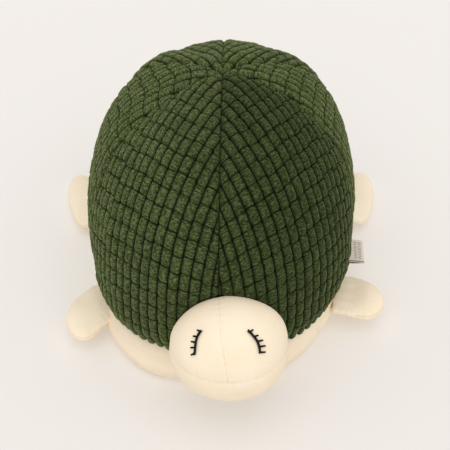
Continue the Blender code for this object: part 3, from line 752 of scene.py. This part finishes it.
def make_gore(name, index, material, skew):
    """One quilted gore, puffed between its seams and tucked in along them."""
    edges = np.radians(SEAMS[index:index + 2])
    points, faces, cells = gore_cloth(edges.mean() + math.radians(skew),
                                      (edges[1] - edges[0]) / 2 + math.radians(abs(skew)))
    planes = []
    for angle, way in zip(edges, (-1, 1)):
        normal = Vector((math.cos(angle), math.sin(angle), 0)) * way
        planes.append((normal * -GORE_GAP * MM, normal))
    planes.append((Vector((0, 0, HEM_HEIGHT + HEM_GAP * MM)), Vector((0, 0, -1))))
    rest, normals, shapes, found = cut_pattern(points, faces, {"cells": cells}, planes)
    cells = found["cells"]
    waver, wavelength, seed = SEAM_WAVER
    gaps, valley, seam_shade = [], np.zeros(len(rest)), np.zeros(len(rest))
    for step, angle in enumerate(edges):
        gap = np.abs(rest[:, 0] * math.cos(angle) + rest[:, 1] * math.sin(angle))
        drawn = BACK_SEAM_DEPTH if index + step == BACK_SEAM else 1.0
        valley += drawn * tuck(gap, SHELL_TUCK)
        wavering = gap * (1 + waver * lumps(rest, wavelength, seed))
        # Painted shade: a dark line along each seam, laid into the colour
        painted_shade = (SEAM_SHADE + SEAM_SHADE_DRAWN * drawn) * bell(wavering, SHADE_LINE_WIDTH)
        seam_shade = np.maximum(seam_shade, painted_shade)
        gaps.append(gap)
    seam = np.minimum(*gaps)
    above_hem = np.maximum(rest[:, 2] - HEM_HEIGHT, 0)
    width = gaps[0] + gaps[1]
    puff = GORE_PUFF * np.clip(4 * gaps[0] * gaps[1] / np.maximum(width, 1e-6) ** 2, 0, 1)
    valley += tuck(np.hypot(rest[:, 0], rest[:, 1]), CROWN_TUCK)
    uneven = wander(rest, SHELL_WAVES) - back_folds(rest)
    rest = slew(rest)
    behind_head = smooth_step((head_room(rest) + POCKET_EDGE) / POCKET_EASE)
    quilt, groove_shade = quilting(cells, index)
    rib = np.clip(quilt, 0, 1)
    rise = RIB_RISE * quilt * (1 - SEAM_LOW * bell(seam, SEAM_LOW_WIDTH))
    # Tufts of pile that stand out of line
    tufts = TUFT_RISE * np.random.default_rng(TUFT_SEED + index).normal(size=len(rest)) * rib
    offset = (rise + puff + uneven + tufts - RIB_RISE - GORE_SINK) * (1 - behind_head)
    offset -= valley + POCKET_DEPTH * behind_head
    outer = rest + normals * offset[:, None]
    # Each rib rolls down over the hem, and the grooves between draw up
    outer[:, 2] -= (HEM_ROLL * rib - HEM_DRAW_UP) * MM * bell(above_hem, HEM_ROLL_HEIGHT)
    inner = rest - normals * (FABRIC + SHELL_PADDING + SEAM_SHARE_INSIDE * valley[:, None])
    # Painted shade on the gores whose pile lies away from the light, set by azimuth
    azimuths, turned = zip(*NAP_SHADE)
    nap_shade = np.interp(np.degrees(np.arctan2(rest[:, 0], -rest[:, 1])), azimuths, turned)
    # The layers carry the painted shade of grooves and seams, the cloth's flat places, and the painted nap shade
    return sew_panel(name, outer, inner, shapes, material, {
        "painted_groove_shade": np.maximum(groove_shade, seam_shade),
        "cloth_place": cells * np.array([RIB_PITCH, ROW_PITCH, 0]),
        "nap_painted_shade": nap_shade,
    })


# ---- Belly ----
def curve_through(pairs, steps):
    """A smooth line through pairs of numbers, a number of steps to each span."""
    knots = np.array([pairs[0], *pairs, pairs[-1]])
    line = []
    for a, b, c, d in zip(knots, knots[1:], knots[2:], knots[3:]):
        for t in np.linspace(0, 1, steps, endpoint=False):
            line.append(0.5 * (2 * b + (c - a) * t + (2 * a - 5 * b + 4 * c - d) * t * t
                               + (3 * b - a - 3 * c + d) * t**3))
    return np.array([*line, knots[-1]])


def make_belly(name, low, high, columns, material):
    """The belly's cloth between two heights, drawn in at its base seam."""
    line = curve_through(BELLY_PROFILE, BELLY_STEPS)
    line[:, 0] = np.maximum(line[:, 0], BELLY_PROFILE[-1][0])
    around = np.linspace(0, 2 * np.pi, columns, endpoint=False)
    reach = outline_reach(around)
    rings = [np.stack([reach * s * np.sin(around), -reach * s * np.cos(around), np.full(columns, z)], -1)
             for z, s in line]
    planes = []
    if high is not None:
        planes.append((Vector((0, 0, high)), Vector((0, 0, 1))))
    if low is not None:
        planes.append((Vector((0, 0, low)), Vector((0, 0, -1))))
    faces = grid_faces(len(line), columns, closed=True)
    rest, normals, shapes, _ = cut_pattern(np.concatenate(rings), faces, {}, planes)
    seam = np.abs(rest[:, 2] - BASE_SEAM_HEIGHT)
    azimuth = np.arctan2(rest[:, 0], -rest[:, 1])
    wall = smooth_step((rest[:, 2] - WALL_START) / WALL_EASE)
    gathers = gather(azimuth * BODY_HALF_WIDTH, rest, *BASE_GATHERS) * bell(seam, BASE_GATHER_REACH)
    bulge = np.zeros(len(rest))
    for middle, spread, height in BELLY_FULLNESS:
        bulge += height * bell(azimuth - middle, spread)
    bulge *= smooth_step((HEM_HEIGHT - rest[:, 2]) / FULLNESS_EASE)
    offset = (wander(rest, BELLY_WAVES) - BELLY_SLACK + bulge + gathers) * wall - tuck(seam, BASE_TUCK)
    rest = slew(rest)
    outer = rest + normals * offset[:, None]
    outer[:, 2] = np.maximum(outer[:, 2], BELLY_LOW)
    inner = rest - normals * FABRIC
    inner[:, 2] = np.maximum(inner[:, 2], outer[:, 2] + np.where(rest[:, 2] < UNDERSIDE, FABRIC, -1))
    return sew_panel(name, outer, inner, shapes, material)


# ---- Stuffed forms ----
def swell(points, faces, held, cap, name):
    """Let a closed cloth form fill for a moment, and keep each point near its pattern."""
    mesh = bpy.data.meshes.new(name)
    mesh.from_pydata(points.tolist(), [], [list(f) for f in faces])
    body = bpy.data.objects.new(name, mesh)
    bpy.context.scene.collection.objects.link(body)
    group = body.vertex_groups.new(name="sewn down")
    for i in np.nonzero(held > 0.01)[0]:
        group.add([int(i)], float(held[i]), "REPLACE")
    cloth = body.modifiers.new("filling", "CLOTH")
    settings = cloth.settings
    settings.quality = 6
    settings.mass = 0.2
    settings.tension_stiffness = settings.compression_stiffness = 12
    settings.shear_stiffness = 6
    settings.bending_stiffness = 0.6
    settings.use_pressure = True
    settings.uniform_pressure_force = 4
    settings.vertex_group_mass = "sewn down"
    settings.effector_weights.gravity = 0
    scene = bpy.context.scene
    for number in range(1, FILLING_FRAMES + 1):
        scene.frame_set(number)
    swollen = body.evaluated_get(bpy.context.evaluated_depsgraph_get()).to_mesh()
    where = np.empty(len(points) * 3)
    swollen.vertices.foreach_get("co", where)
    scene.frame_set(1)
    bpy.data.objects.remove(body)
    moved = where.reshape(-1, 3) - points
    far = np.linalg.norm(moved, axis=1)[:, None]
    return moved * cap / (far + cap)


def refine(points, faces, moved, levels):
    """Round a coarse form and its swelling together."""
    mesh = bpy.data.meshes.new("coarse")
    mesh.from_pydata(points.tolist(), [], [list(f) for f in faces])
    carrier = bpy.data.objects.new("coarse", mesh)
    bpy.context.scene.collection.objects.link(carrier)
    carrier.shape_key_add(name="pattern")
    rounding = carrier.modifiers.new("rounding", "SUBSURF")
    rounding.levels = rounding.render_levels = levels
    results = []
    for shape in (points, points + moved):
        carrier.data.shape_keys.key_blocks[0].data.foreach_set("co", shape.ravel())
        carrier.data.update()
        bpy.context.view_layer.update()
        fine = bpy.data.meshes.new_from_object(carrier.evaluated_get(bpy.context.evaluated_depsgraph_get()))
        where = np.empty(len(fine.vertices) * 3)
        fine.vertices.foreach_get("co", where)
        results.append(where.reshape(-1, 3))
        shapes = [tuple(p.vertices) for p in fine.polygons]
    bpy.data.objects.remove(carrier)
    return results[0], results[1] - results[0], shapes


def close_rings(rings):
    """Points and faces of a closed form through rings, with a pole at each end."""
    count = len(rings[0])
    points = np.concatenate([rings[0].mean(0)[None], *rings, rings[-1].mean(0)[None]])
    faces = (grid_faces(len(rings), count, closed=True) + 1).tolist()
    last = len(points) - 1
    for i in range(count):
        j = (i + 1) % count
        faces.append([0, 1 + i, 1 + j])
        faces.append([last, last - count + j, last - count + i])
    return points, faces


# ---- Head ----
def head_point(across, elevation, lift=0.0):
    """A point on the head, or lifted off it, from its centre; elevation turns up from the front."""
    half_width = HEAD_HALF_WIDTH + lift
    radius = (HEAD_RADIUS + lift) * np.sqrt(np.maximum(1 - (across / half_width) ** 2, 0))
    return np.stack([across + 0 * elevation, -radius * np.cos(elevation), radius * np.sin(elevation)], -1)


def face_seam(points):
    """Where the seam up the face lies across the head, from its centre."""
    climb = np.degrees(np.arctan2(points[:, 2], -points[:, 1]))
    return FACE_SEAM_MOUTH + (FACE_SEAM_TOP - FACE_SEAM_MOUTH) * smooth_step(climb / FACE_SEAM_RISE)


def head_form():
    """The stuffed head about its own centre, a little slack before its filling swells it."""
    elevation = np.linspace(0, 2 * np.pi, HEAD_SIDES, endpoint=False)
    rings = []
    for i in range(1, HEAD_RINGS):
        across = -(HEAD_HALF_WIDTH - HEAD_SLACK) * math.cos(math.pi * i / HEAD_RINGS)
        rings.append(head_point(across, elevation, -HEAD_SLACK))
    points, faces = close_rings(rings)
    points[0, 0], points[-1, 0] = -HEAD_HALF_WIDTH + HEAD_SLACK, HEAD_HALF_WIDTH - HEAD_SLACK
    mouth = bell(points[:, 2] - MOUTH_RISE, HEAD_HOLD_WIDTH)
    crown = bell(points[:, 0] - face_seam(points), HEAD_HOLD_WIDTH) * (points[:, 2] > MOUTH_RISE)
    moved = swell(points, faces, HEAD_HOLD * np.maximum(mouth, crown), HEAD_SWELL, "head filling")
    return refine(points, faces, moved, ROUNDING_LEVELS)


def make_head_panel(name, form, across_side, material):
    """A panel of the head: a crown half to one side of the face seam, or the chin."""
    rest, moved, faces = form
    warped = rest.copy()
    warped[:, 0] -= face_seam(rest)
    gap = HEAD_GAP * MM
    if across_side:
        planes = [(Vector((across_side * gap, 0, 0)), Vector((-across_side, 0, 0))),
                  (Vector((0, 0, MOUTH_RISE + gap)), Vector((0, 0, -1)))]
    else:
        planes = [(Vector((0, 0, MOUTH_RISE - gap)), Vector((0, 0, 1)))]
    where, _, shapes, found = cut_pattern(warped, faces, {"moved": moved}, planes)
    where[:, 0] += face_seam(where)
    normals = where / np.array([HEAD_HALF_WIDTH, HEAD_RADIUS, HEAD_RADIUS]) ** 2
    normals /= np.linalg.norm(normals, axis=1)[:, None]
    mouth = np.abs(where[:, 2] - MOUTH_RISE)
    crown = np.where(where[:, 2] > MOUTH_RISE, np.abs(where[:, 0] - face_seam(where)), 1)
    run = np.arctan2(where[:, 0], -where[:, 1]) * HEAD_RADIUS
    climb = np.arctan2(where[:, 2], -where[:, 1]) * HEAD_RADIUS
    gathers = gather(run, where, *MOUTH_GATHERS) * bell(mouth, MOUTH_GATHER_REACH)
    gathers += gather(climb, where, *FACE_GATHERS) * bell(crown, FACE_GATHER_REACH)
    uneven = wander(where, HEAD_WAVES)
    for way, spread, height in HEAD_FULLNESS:
        away = np.linalg.norm(normals - np.array(way) / np.linalg.norm(way), axis=1)
        uneven += height * bell(away, spread)
    valley = tuck(mouth, MOUTH_TUCK) + tuck(crown, FACE_TUCK)
    offset = gathers + uneven - np.minimum(valley, HEAD_TUCK_LIMIT)
    outer = where + found["moved"] + normals * offset[:, None] + HEAD_CENTRE
    inner = where - normals * (FABRIC + HEAD_PADDING) + HEAD_CENTRE
    return sew_panel(name, outer, inner, shapes, material)


# ---- Flippers ----
def wall_seat(side, ahead, height):
    """A point of the body's wall at a distance ahead of the crown, and its outward and forward ways."""
    heights, shares = zip(*WALL_PROFILE)
    share = float(np.interp(height, HEM_HEIGHT * np.array(heights), shares))
    long_reach = (BODY_FRONT_REACH if ahead > 0 else BODY_BACK_REACH) * share
    wide_reach = BODY_HALF_WIDTH * share
    across = wide_reach * (1 - abs(ahead / long_reach) ** OUTLINE_POWER) ** (1 / OUTLINE_POWER)
    slope_out = (across / wide_reach) ** (OUTLINE_POWER - 1) / wide_reach
    slope_ahead = math.copysign(abs(ahead / long_reach) ** (OUTLINE_POWER - 1) / long_reach, ahead)
    outward = np.array([side * slope_out, -slope_ahead, 0.0])
    outward /= np.linalg.norm(outward)
    forward = np.array([outward[1] * side, -outward[0] * side, 0.0])
    return np.array([side * across, -ahead, height]), outward, forward


def flipper_drop(fin, share):
    """How far a flipper's middle line has come down towards the floor."""
    drop = FLIPPER_ROOT_HEIGHT - FLIPPER_THICKNESS / 2 - FLIPPER_FLOOR_GAP
    return drop * fin["droop"] * smooth_step(np.maximum(share, 0) / FLIPPER_GROWN)


def flipper_form(fin, outward, forward):
    """A stuffed fin about its hinge: root, swell and round tip."""
    free = np.sin(np.linspace(0, np.pi / 2, FLIPPER_STATIONS)[:-1]) ** FLIPPER_CROWDING
    turns = np.linspace(0, 2 * np.pi, FLIPPER_RING, endpoint=False)
    rise = np.sign(np.sin(turns)) * np.abs(np.sin(turns)) ** FLIPPER_SECTION_POWER
    rings = []
    for share in np.concatenate([FLIPPER_ROOT_STATIONS, free]):
        grown = smooth_step(share / FLIPPER_GROWN)
        tip = max(share - FLIPPER_TIP_START, 0) / (1 - FLIPPER_TIP_START)
        rounding = math.sqrt(max(1 - tip * tip, 0))
        half_width = (fin["root"] + (fin["width"] - fin["root"]) * grown) / 2 * rounding - FLIPPER_SLACK
        thick = FLIPPER_ROOT_THICKNESS + (FLIPPER_THICKNESS - FLIPPER_ROOT_THICKNESS) * grown
        half_thick = thick / 2 * rounding**FLIPPER_TIP_POWER - FLIPPER_SLACK
        centre = outward * fin["reach"] * share + forward * fin["shift"] * max(share, 0)
        centre = centre - np.array([0, 0, float(flipper_drop(fin, share))])
        ring = centre + np.outer(np.cos(turns), forward * half_width)
        rings.append(ring + np.outer(rise, [0, 0, half_thick]))
    points, faces = close_rings(rings)
    points[-1] = outward * (fin["reach"] - FLIPPER_SLACK) + forward * fin["shift"]
    points[-1, 2] -= float(flipper_drop(fin, 1.0))
    if fin["side"] < 0:
        faces = [face[::-1] for face in faces]
    out = points @ outward / fin["reach"]
    edge = np.abs(points[:, 2] + flipper_drop(fin, out))
    # Held at its root, and along the seam round its edge
    root = smooth_step((FLIPPER_ROOT_HOLD - out) / FLIPPER_ROOT_EASE)
    held = np.maximum(root, FLIPPER_HOLD * bell(edge, FLIPPER_HOLD_WIDTH))
    moved = swell(points, faces, held, FLIPPER_SWELL, "flipper filling")
    return refine(points, faces, moved, ROUNDING_LEVELS)


def make_flipper(key, material):
    """Two panels of a flipper, sewn round its edge and gathered at its root."""
    fin = FLIPPERS[key]
    seat, outward, forward = wall_seat(fin["side"], fin["ahead"], FLIPPER_ROOT_HEIGHT)
    hinge = seat + outward * (SEAT_GAP + FLIPPER_ROOT_THICKNESS / 2)
    rest, moved, faces = flipper_form(fin, outward, forward)
    root_reach = FLIPPER_ROOT_SHARE * fin["reach"]
    for half, way in (("top", 1), ("under", -1)):
        warped = rest.copy()
        warped[:, 2] += flipper_drop(fin, rest @ outward / fin["reach"])
        planes = [(Vector((0, 0, way * FLIPPER_GAP * MM)), Vector((0, 0, -way)))]
        where, normals, shapes, found = cut_pattern(warped, faces, {"moved": moved}, planes)
        out = where @ outward
        edge = np.abs(where[:, 2])
        where[:, 2] -= flipper_drop(fin, out / fin["reach"])
        across = where @ forward - fin["shift"] * np.maximum(out, 0) / fin["reach"]
        run = np.arctan2(across, out - root_reach) * FLIPPER_ROUND
        gathers = gather(run, where, *FLIPPER_GATHERS) * bell(edge, FLIPPER_GATHER_REACH)
        gathers += gather(across, where, *ROOT_GATHERS) * smooth_step((root_reach - out) / root_reach)
        offset = gathers + wander(where, FLIPPER_WAVES) - tuck(edge, FLIPPER_TUCK)
        outer = where + found["moved"] + normals * offset[:, None] + hinge
        outer[:, 2] = np.maximum(outer[:, 2], FLIPPER_LOW)
        inner = where - normals * FLIPPER_WALL + hinge
        inner[:, 2] = np.maximum(inner[:, 2], FLIPPER_LOW_INSIDE)
        panel = sew_panel("flipper_{}_{}_cloth".format(key, half), outer, inner, shapes, material)
        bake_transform(panel)
    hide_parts("flipper_{}_top".format(key), "flipper_{}_stuffing".format(key))
    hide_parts("flipper_{}_under".format(key))


# ---- Label ----
def make_label(material):
    """A bare woven tape, folded once, with both ends caught in the hem."""
    seat, outward, forward = wall_seat(1, LABEL_SET, HEM_HEIGHT)
    hinge = seat + outward * (SEAT_GAP + LABEL_TAPE)
    half = (LABEL_LOOP - LABEL_TAPE) / 2
    turns = np.linspace(0, np.pi, LABEL_ROWS)
    outs = (LABEL_REACH + LABEL_HIDDEN - LABEL_TAPE / 2) * np.sin(turns) ** LABEL_FOLD_POWER - LABEL_HIDDEN
    line = np.stack([outs, half * np.cos(turns) ** 3], -1)
    run = np.append(0, np.cumsum(np.linalg.norm(np.diff(line, axis=0), axis=1)))
    across = np.linspace(-LABEL_WIDTH / 2, LABEL_WIDTH / 2, LABEL_COLUMNS)
    ticks = np.cos(across / LABEL_TICK * 2 * np.pi) > LABEL_TICK_EDGE
    ticks &= (across > LABEL_MARKS[0]) & (across < LABEL_MARKS[1])
    border = (across > LABEL_BORDER[0]) & (across < LABEL_BORDER[1])
    place, points, marks = [], [], []
    for (out, up), far in zip(line, run):
        free = max(out, 0) / LABEL_REACH
        curl = LABEL_CURL * free**2 * (np.cos(across / LABEL_WIDTH * 2.2) - 0.5)
        ripple = LABEL_RIPPLE * free * np.sin(across / LABEL_RIPPLE_PITCH * 2 * np.pi + 1)
        rise = up + ripple - curl
        points.append(hinge + out * outward + across[:, None] * forward + rise[:, None] * np.array([0, 0, 1]))
        place.append(np.stack([across, np.full(LABEL_COLUMNS, far), np.zeros(LABEL_COLUMNS)], -1))
        marked = up > 0 and any(low < free < high for low, high in LABEL_LINES)
        marks.append(np.where(border, 1.0, LABEL_MARK_STRENGTH * (ticks & marked)))
    points, place, marks = np.concatenate(points), np.concatenate(place), np.concatenate(marks)
    faces = grid_faces(len(line), LABEL_COLUMNS)
    mesh = bpy.data.meshes.new("side_label")
    mesh.from_pydata(points.tolist(), [], faces.tolist())
    mesh.attributes.new("cloth_place", "FLOAT_VECTOR", "POINT").data.foreach_set("vector", place.ravel())
    mesh.attributes.new("brown_weft", "FLOAT", "POINT").data.foreach_set("value", marks)
    mesh.materials.append(material)
    mesh.shade_smooth()
    label = bpy.data.objects.new("side_label_tape", mesh)
    bpy.context.scene.collection.objects.link(label)
    tape = label.modifiers.new("tape", "SOLIDIFY")
    tape.thickness = LABEL_TAPE
    tape.offset = 0
    plain = bpy.data.meshes.new_from_object(label.evaluated_get(bpy.context.evaluated_depsgraph_get()))
    label.modifiers.clear()
    label.data = plain
    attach(label, "label")
    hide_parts("side_label")


# ---- Eyes ----
def stitch_tree(material):
    """Satin stitch: short arched threads laid side by side across a line."""
    tree = bpy.data.node_groups.new("satin_stitch", "GeometryNodeTree")
    tree.interface.new_socket(name="Line", socket_type="NodeSocketGeometry", in_out="INPUT")
    for name in ("Stitch spacing", "Thread radius", "Slant"):
        tree.interface.new_socket(name=name, socket_type="NodeSocketFloat", in_out="INPUT")
    tree.interface.new_socket(name="Stitches", socket_type="NodeSocketGeometry", in_out="OUTPUT")
    source = add_node(tree, "NodeGroupInput").outputs
    line = add_node(tree, "GeometryNodeMeshToCurve", None, {"Mesh": source["Line"]})
    spots = add_node(tree, "GeometryNodeCurveToPoints", {"mode": "LENGTH"}, {
        "Curve": line.outputs["Curve"], "Length": source["Stitch spacing"]})
    facing = add_node(tree, "GeometryNodeInputNamedAttribute", {"data_type": "FLOAT_VECTOR"}, {
        "Name": "facing"})
    wide = add_node(tree, "GeometryNodeInputNamedAttribute", {"data_type": "FLOAT"}, {"Name": "stitch_width"})
    up = add_node(tree, "FunctionNodeAlignRotationToVector", {"axis": "Z"}, {
        "Vector": facing.outputs["Attribute"]})
    along = add_node(tree, "FunctionNodeAlignRotationToVector", {"axis": "Y", "pivot_axis": "Z"}, {
        "Rotation": up.outputs["Rotation"], "Vector": spots.outputs["Tangent"]})
    lean = add_node(tree, "FunctionNodeAxisAngleToRotation", None, {
        "Axis": (0, 0, 1), "Angle": source["Slant"]})
    turned = add_node(tree, "FunctionNodeRotateRotation", {"rotation_space": "LOCAL"}, {
        "Rotation": along.outputs["Rotation"], "Rotate By": lean.outputs["Rotation"]})
    arch = add_node(tree, "GeometryNodeCurveQuadraticBezier", None, {
        "Resolution": 8, "Start": (-0.5, 0, -0.08), "Middle": (0, 0, 0.34), "End": (0.5, 0, -0.08)})
    scale = add_node(tree, "ShaderNodeCombineXYZ", None, {
        "X": wide.outputs["Attribute"], "Y": wide.outputs["Attribute"], "Z": wide.outputs["Attribute"]})
    threads = add_node(tree, "GeometryNodeInstanceOnPoints", None, {
        "Points": spots.outputs["Points"], "Instance": arch.outputs["Curve"],
        "Rotation": turned.outputs["Rotation"], "Scale": scale.outputs["Vector"]})
    real = add_node(tree, "GeometryNodeRealizeInstances", None, {"Geometry": threads.outputs["Instances"]})
    ring = add_node(tree, "GeometryNodeCurvePrimitiveCircle", None, {
        "Resolution": 6, "Radius": source["Thread radius"]})
    tubes = add_node(tree, "GeometryNodeCurveToMesh", None, {
        "Curve": real.outputs["Geometry"], "Profile Curve": ring.outputs["Curve"], "Fill Caps": True})
    painted = add_node(tree, "GeometryNodeSetMaterial", None, {
        "Geometry": tubes.outputs["Mesh"], "Material": material})
    add_node(tree, "NodeGroupOutput", None, {"Stitches": painted.outputs["Geometry"]})
    return tree


def eye_line(pairs, steps):
    """A smooth line over the head through places given in millimetres across and degrees up."""
    line = curve_through(pairs, steps)
    spots = head_point(line[:, 0] * MM, np.radians(line[:, 1]), EYE_LIFT)
    way = spots / np.array([HEAD_HALF_WIDTH, HEAD_RADIUS, HEAD_RADIUS]) ** 2
    return spots + HEAD_CENTRE, way / np.linalg.norm(way, axis=1)[:, None]


def make_eye(name, eye, tree, material):
    """One closed eye in satin stitch: the lid, and lashes that narrow to their tips."""
    runs = [(*eye_line(eye["lid"], EYE_STEPS), *LID_STITCH)]
    for root, tip in eye["lashes"]:
        runs.append((*eye_line((root, tip), EYE_STEPS), *LASH_STITCH))
    points, facing, widths, edges = [], [], [], []
    for spots, ways, first, last in runs:
        start = len(points)
        points += spots.tolist()
        facing += ways.tolist()
        widths += np.linspace(first * MM, last * MM, len(spots)).tolist()
        edges += [(i, i + 1) for i in range(start, len(points) - 1)]
    mesh = bpy.data.meshes.new(name)
    mesh.from_pydata(points, edges, [])
    mesh.attributes.new("facing", "FLOAT_VECTOR", "POINT").data.foreach_set("vector", np.array(facing).ravel())
    mesh.attributes.new("stitch_width", "FLOAT", "POINT").data.foreach_set("value", widths)
    motif = bpy.data.objects.new(name + "_satin_stitch", mesh)
    bpy.context.scene.collection.objects.link(motif)
    stitches = motif.modifiers.new("stitches", "NODES")
    stitches.node_group = tree
    values = {"Stitch spacing": 0.3 * MM, "Thread radius": 0.2 * MM, "Slant": math.radians(18)}
    for item in tree.interface.items_tree:
        if item.name in values:
            stitches[item.identifier] = values[item.name]
    plain = bpy.data.meshes.new_from_object(motif.evaluated_get(bpy.context.evaluated_depsgraph_get()))
    motif.modifiers.clear()
    motif.data = plain
    if not plain.materials:
        plain.materials.append(material)
    plain.shade_smooth()
    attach(motif, "head")
    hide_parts(name)


# ---- Assembly ----
quilted_velboa = velboa("quilted_moss_green_velboa", QUILTED_CLOTH, quilted=True)
cream_velboa = velboa("cream_velboa", CREAM_CLOTH, quilted=False)
black_rayon = rayon_thread()
label_weave = woven_tape()

# The gores round the shell from the nose towards +X, and how many degrees their ribs run off the middle line
GORES = (("front_left", 0), ("side_left", -14), ("back_left", 0),
         ("back_right", 0), ("side_right", 14), ("front_right", 0))
for gore_index, (gore_name, gore_skew) in enumerate(GORES):
    gore = make_gore("quilted_gore_" + gore_name, gore_index, quilted_velboa, gore_skew)
    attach(gore, "body")
    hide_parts("shell_gore_" + gore_name)

band = make_belly("belly_band_cloth", BASE_SEAM_HEIGHT + BASE_GAP * MM, None, BAND_COLUMNS, cream_velboa)
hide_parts("belly_side_band", "body_stuffing")
base = make_belly("belly_base_cloth", None, BASE_SEAM_HEIGHT - BASE_GAP * MM, BASE_COLUMNS, cream_velboa)
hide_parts("belly_base")
for cloth in (band, base):
    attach(cloth, "body")

stuffed_head = head_form()
for panel_name, panel_side, nodes in (("head_crown_left", 1, ("head_crown_left", "head_stuffing")),
                                      ("head_crown_right", -1, ("head_crown_right",)),
                                      ("head_chin", 0, ("head_chin",))):
    head_panel = make_head_panel(panel_name + "_cloth", stuffed_head, panel_side, cream_velboa)
    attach(head_panel, "head")
    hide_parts(*nodes)

for flipper_key in FLIPPERS:
    make_flipper(flipper_key, cream_velboa)

make_label(label_weave)
satin_stitch = stitch_tree(black_rayon)
for eye_name, eye_places in EYES.items():
    make_eye(eye_name, eye_places, satin_stitch, black_rayon)


# ---- Stage ----
def make_floor():
    """A wide matte floor, almost white, with a glow for the light that the room throws back into the shadow."""
    mesh = bpy.data.meshes.new("floor")
    corners = [(x * FLOOR_HALF_SIDE, y * FLOOR_HALF_SIDE, 0) for x, y in ((-1, -1), (1, -1), (1, 1), (-1, 1))]
    mesh.from_pydata(corners, [], [(0, 1, 2, 3)])
    material = bpy.data.materials.new("pale_matte_floor")
    material.use_nodes = True
    shader = material.node_tree.nodes["Principled BSDF"]
    shader.inputs["Base Color"].default_value = linear(FLOOR_COLOUR)
    shader.inputs["Roughness"].default_value = 0.9
    shader.inputs["Emission Color"].default_value = linear(FLOOR_GLOW_COLOUR)
    shader.inputs["Emission Strength"].default_value = FLOOR_GLOW
    mesh.materials.append(material)
    floor = bpy.data.objects.new("floor", mesh)
    bpy.context.scene.collection.objects.link(floor)


def add_window(name, place, spread, power, colour):
    """A wide soft light from far off, like a large window or a hung softbox."""
    lamp = bpy.data.lights.new(name, "SUN")
    lamp.angle = math.radians(spread)
    lamp.energy = power
    lamp.color = linear(colour)[:3]
    light = bpy.data.objects.new(name, lamp)
    light.location = place
    light.rotation_euler = (-Vector(place)).to_track_quat("-Z", "Y").to_euler()
    bpy.context.scene.collection.objects.link(light)


def add_room_light():
    """Even light from the pale walls and ceiling."""
    world = bpy.data.worlds.new("studio")
    world.use_nodes = True
    background = world.node_tree.nodes["Background"]
    background.inputs["Color"].default_value = linear(ROOM_COLOUR)
    background.inputs["Strength"].default_value = ROOM_LIGHT
    bpy.context.scene.world = world


def add_camera():
    """A camera at the photograph's viewing angle."""
    lens = bpy.data.cameras.new("camera")
    lens.lens = CAMERA_LENS
    lens.sensor_width = CAMERA_SENSOR
    camera = bpy.data.objects.new("camera", lens)
    camera.location = CAMERA_PLACE
    camera.rotation_euler = (Vector(CAMERA_TARGET) - camera.location).to_track_quat("-Z", "Y").to_euler()
    bpy.context.scene.collection.objects.link(camera)
    bpy.context.scene.camera = camera


make_floor()
for window_name, window in WINDOWS.items():
    add_window(window_name, *window)
add_room_light()
add_camera()
bpy.context.scene.view_settings.view_transform = "Standard"
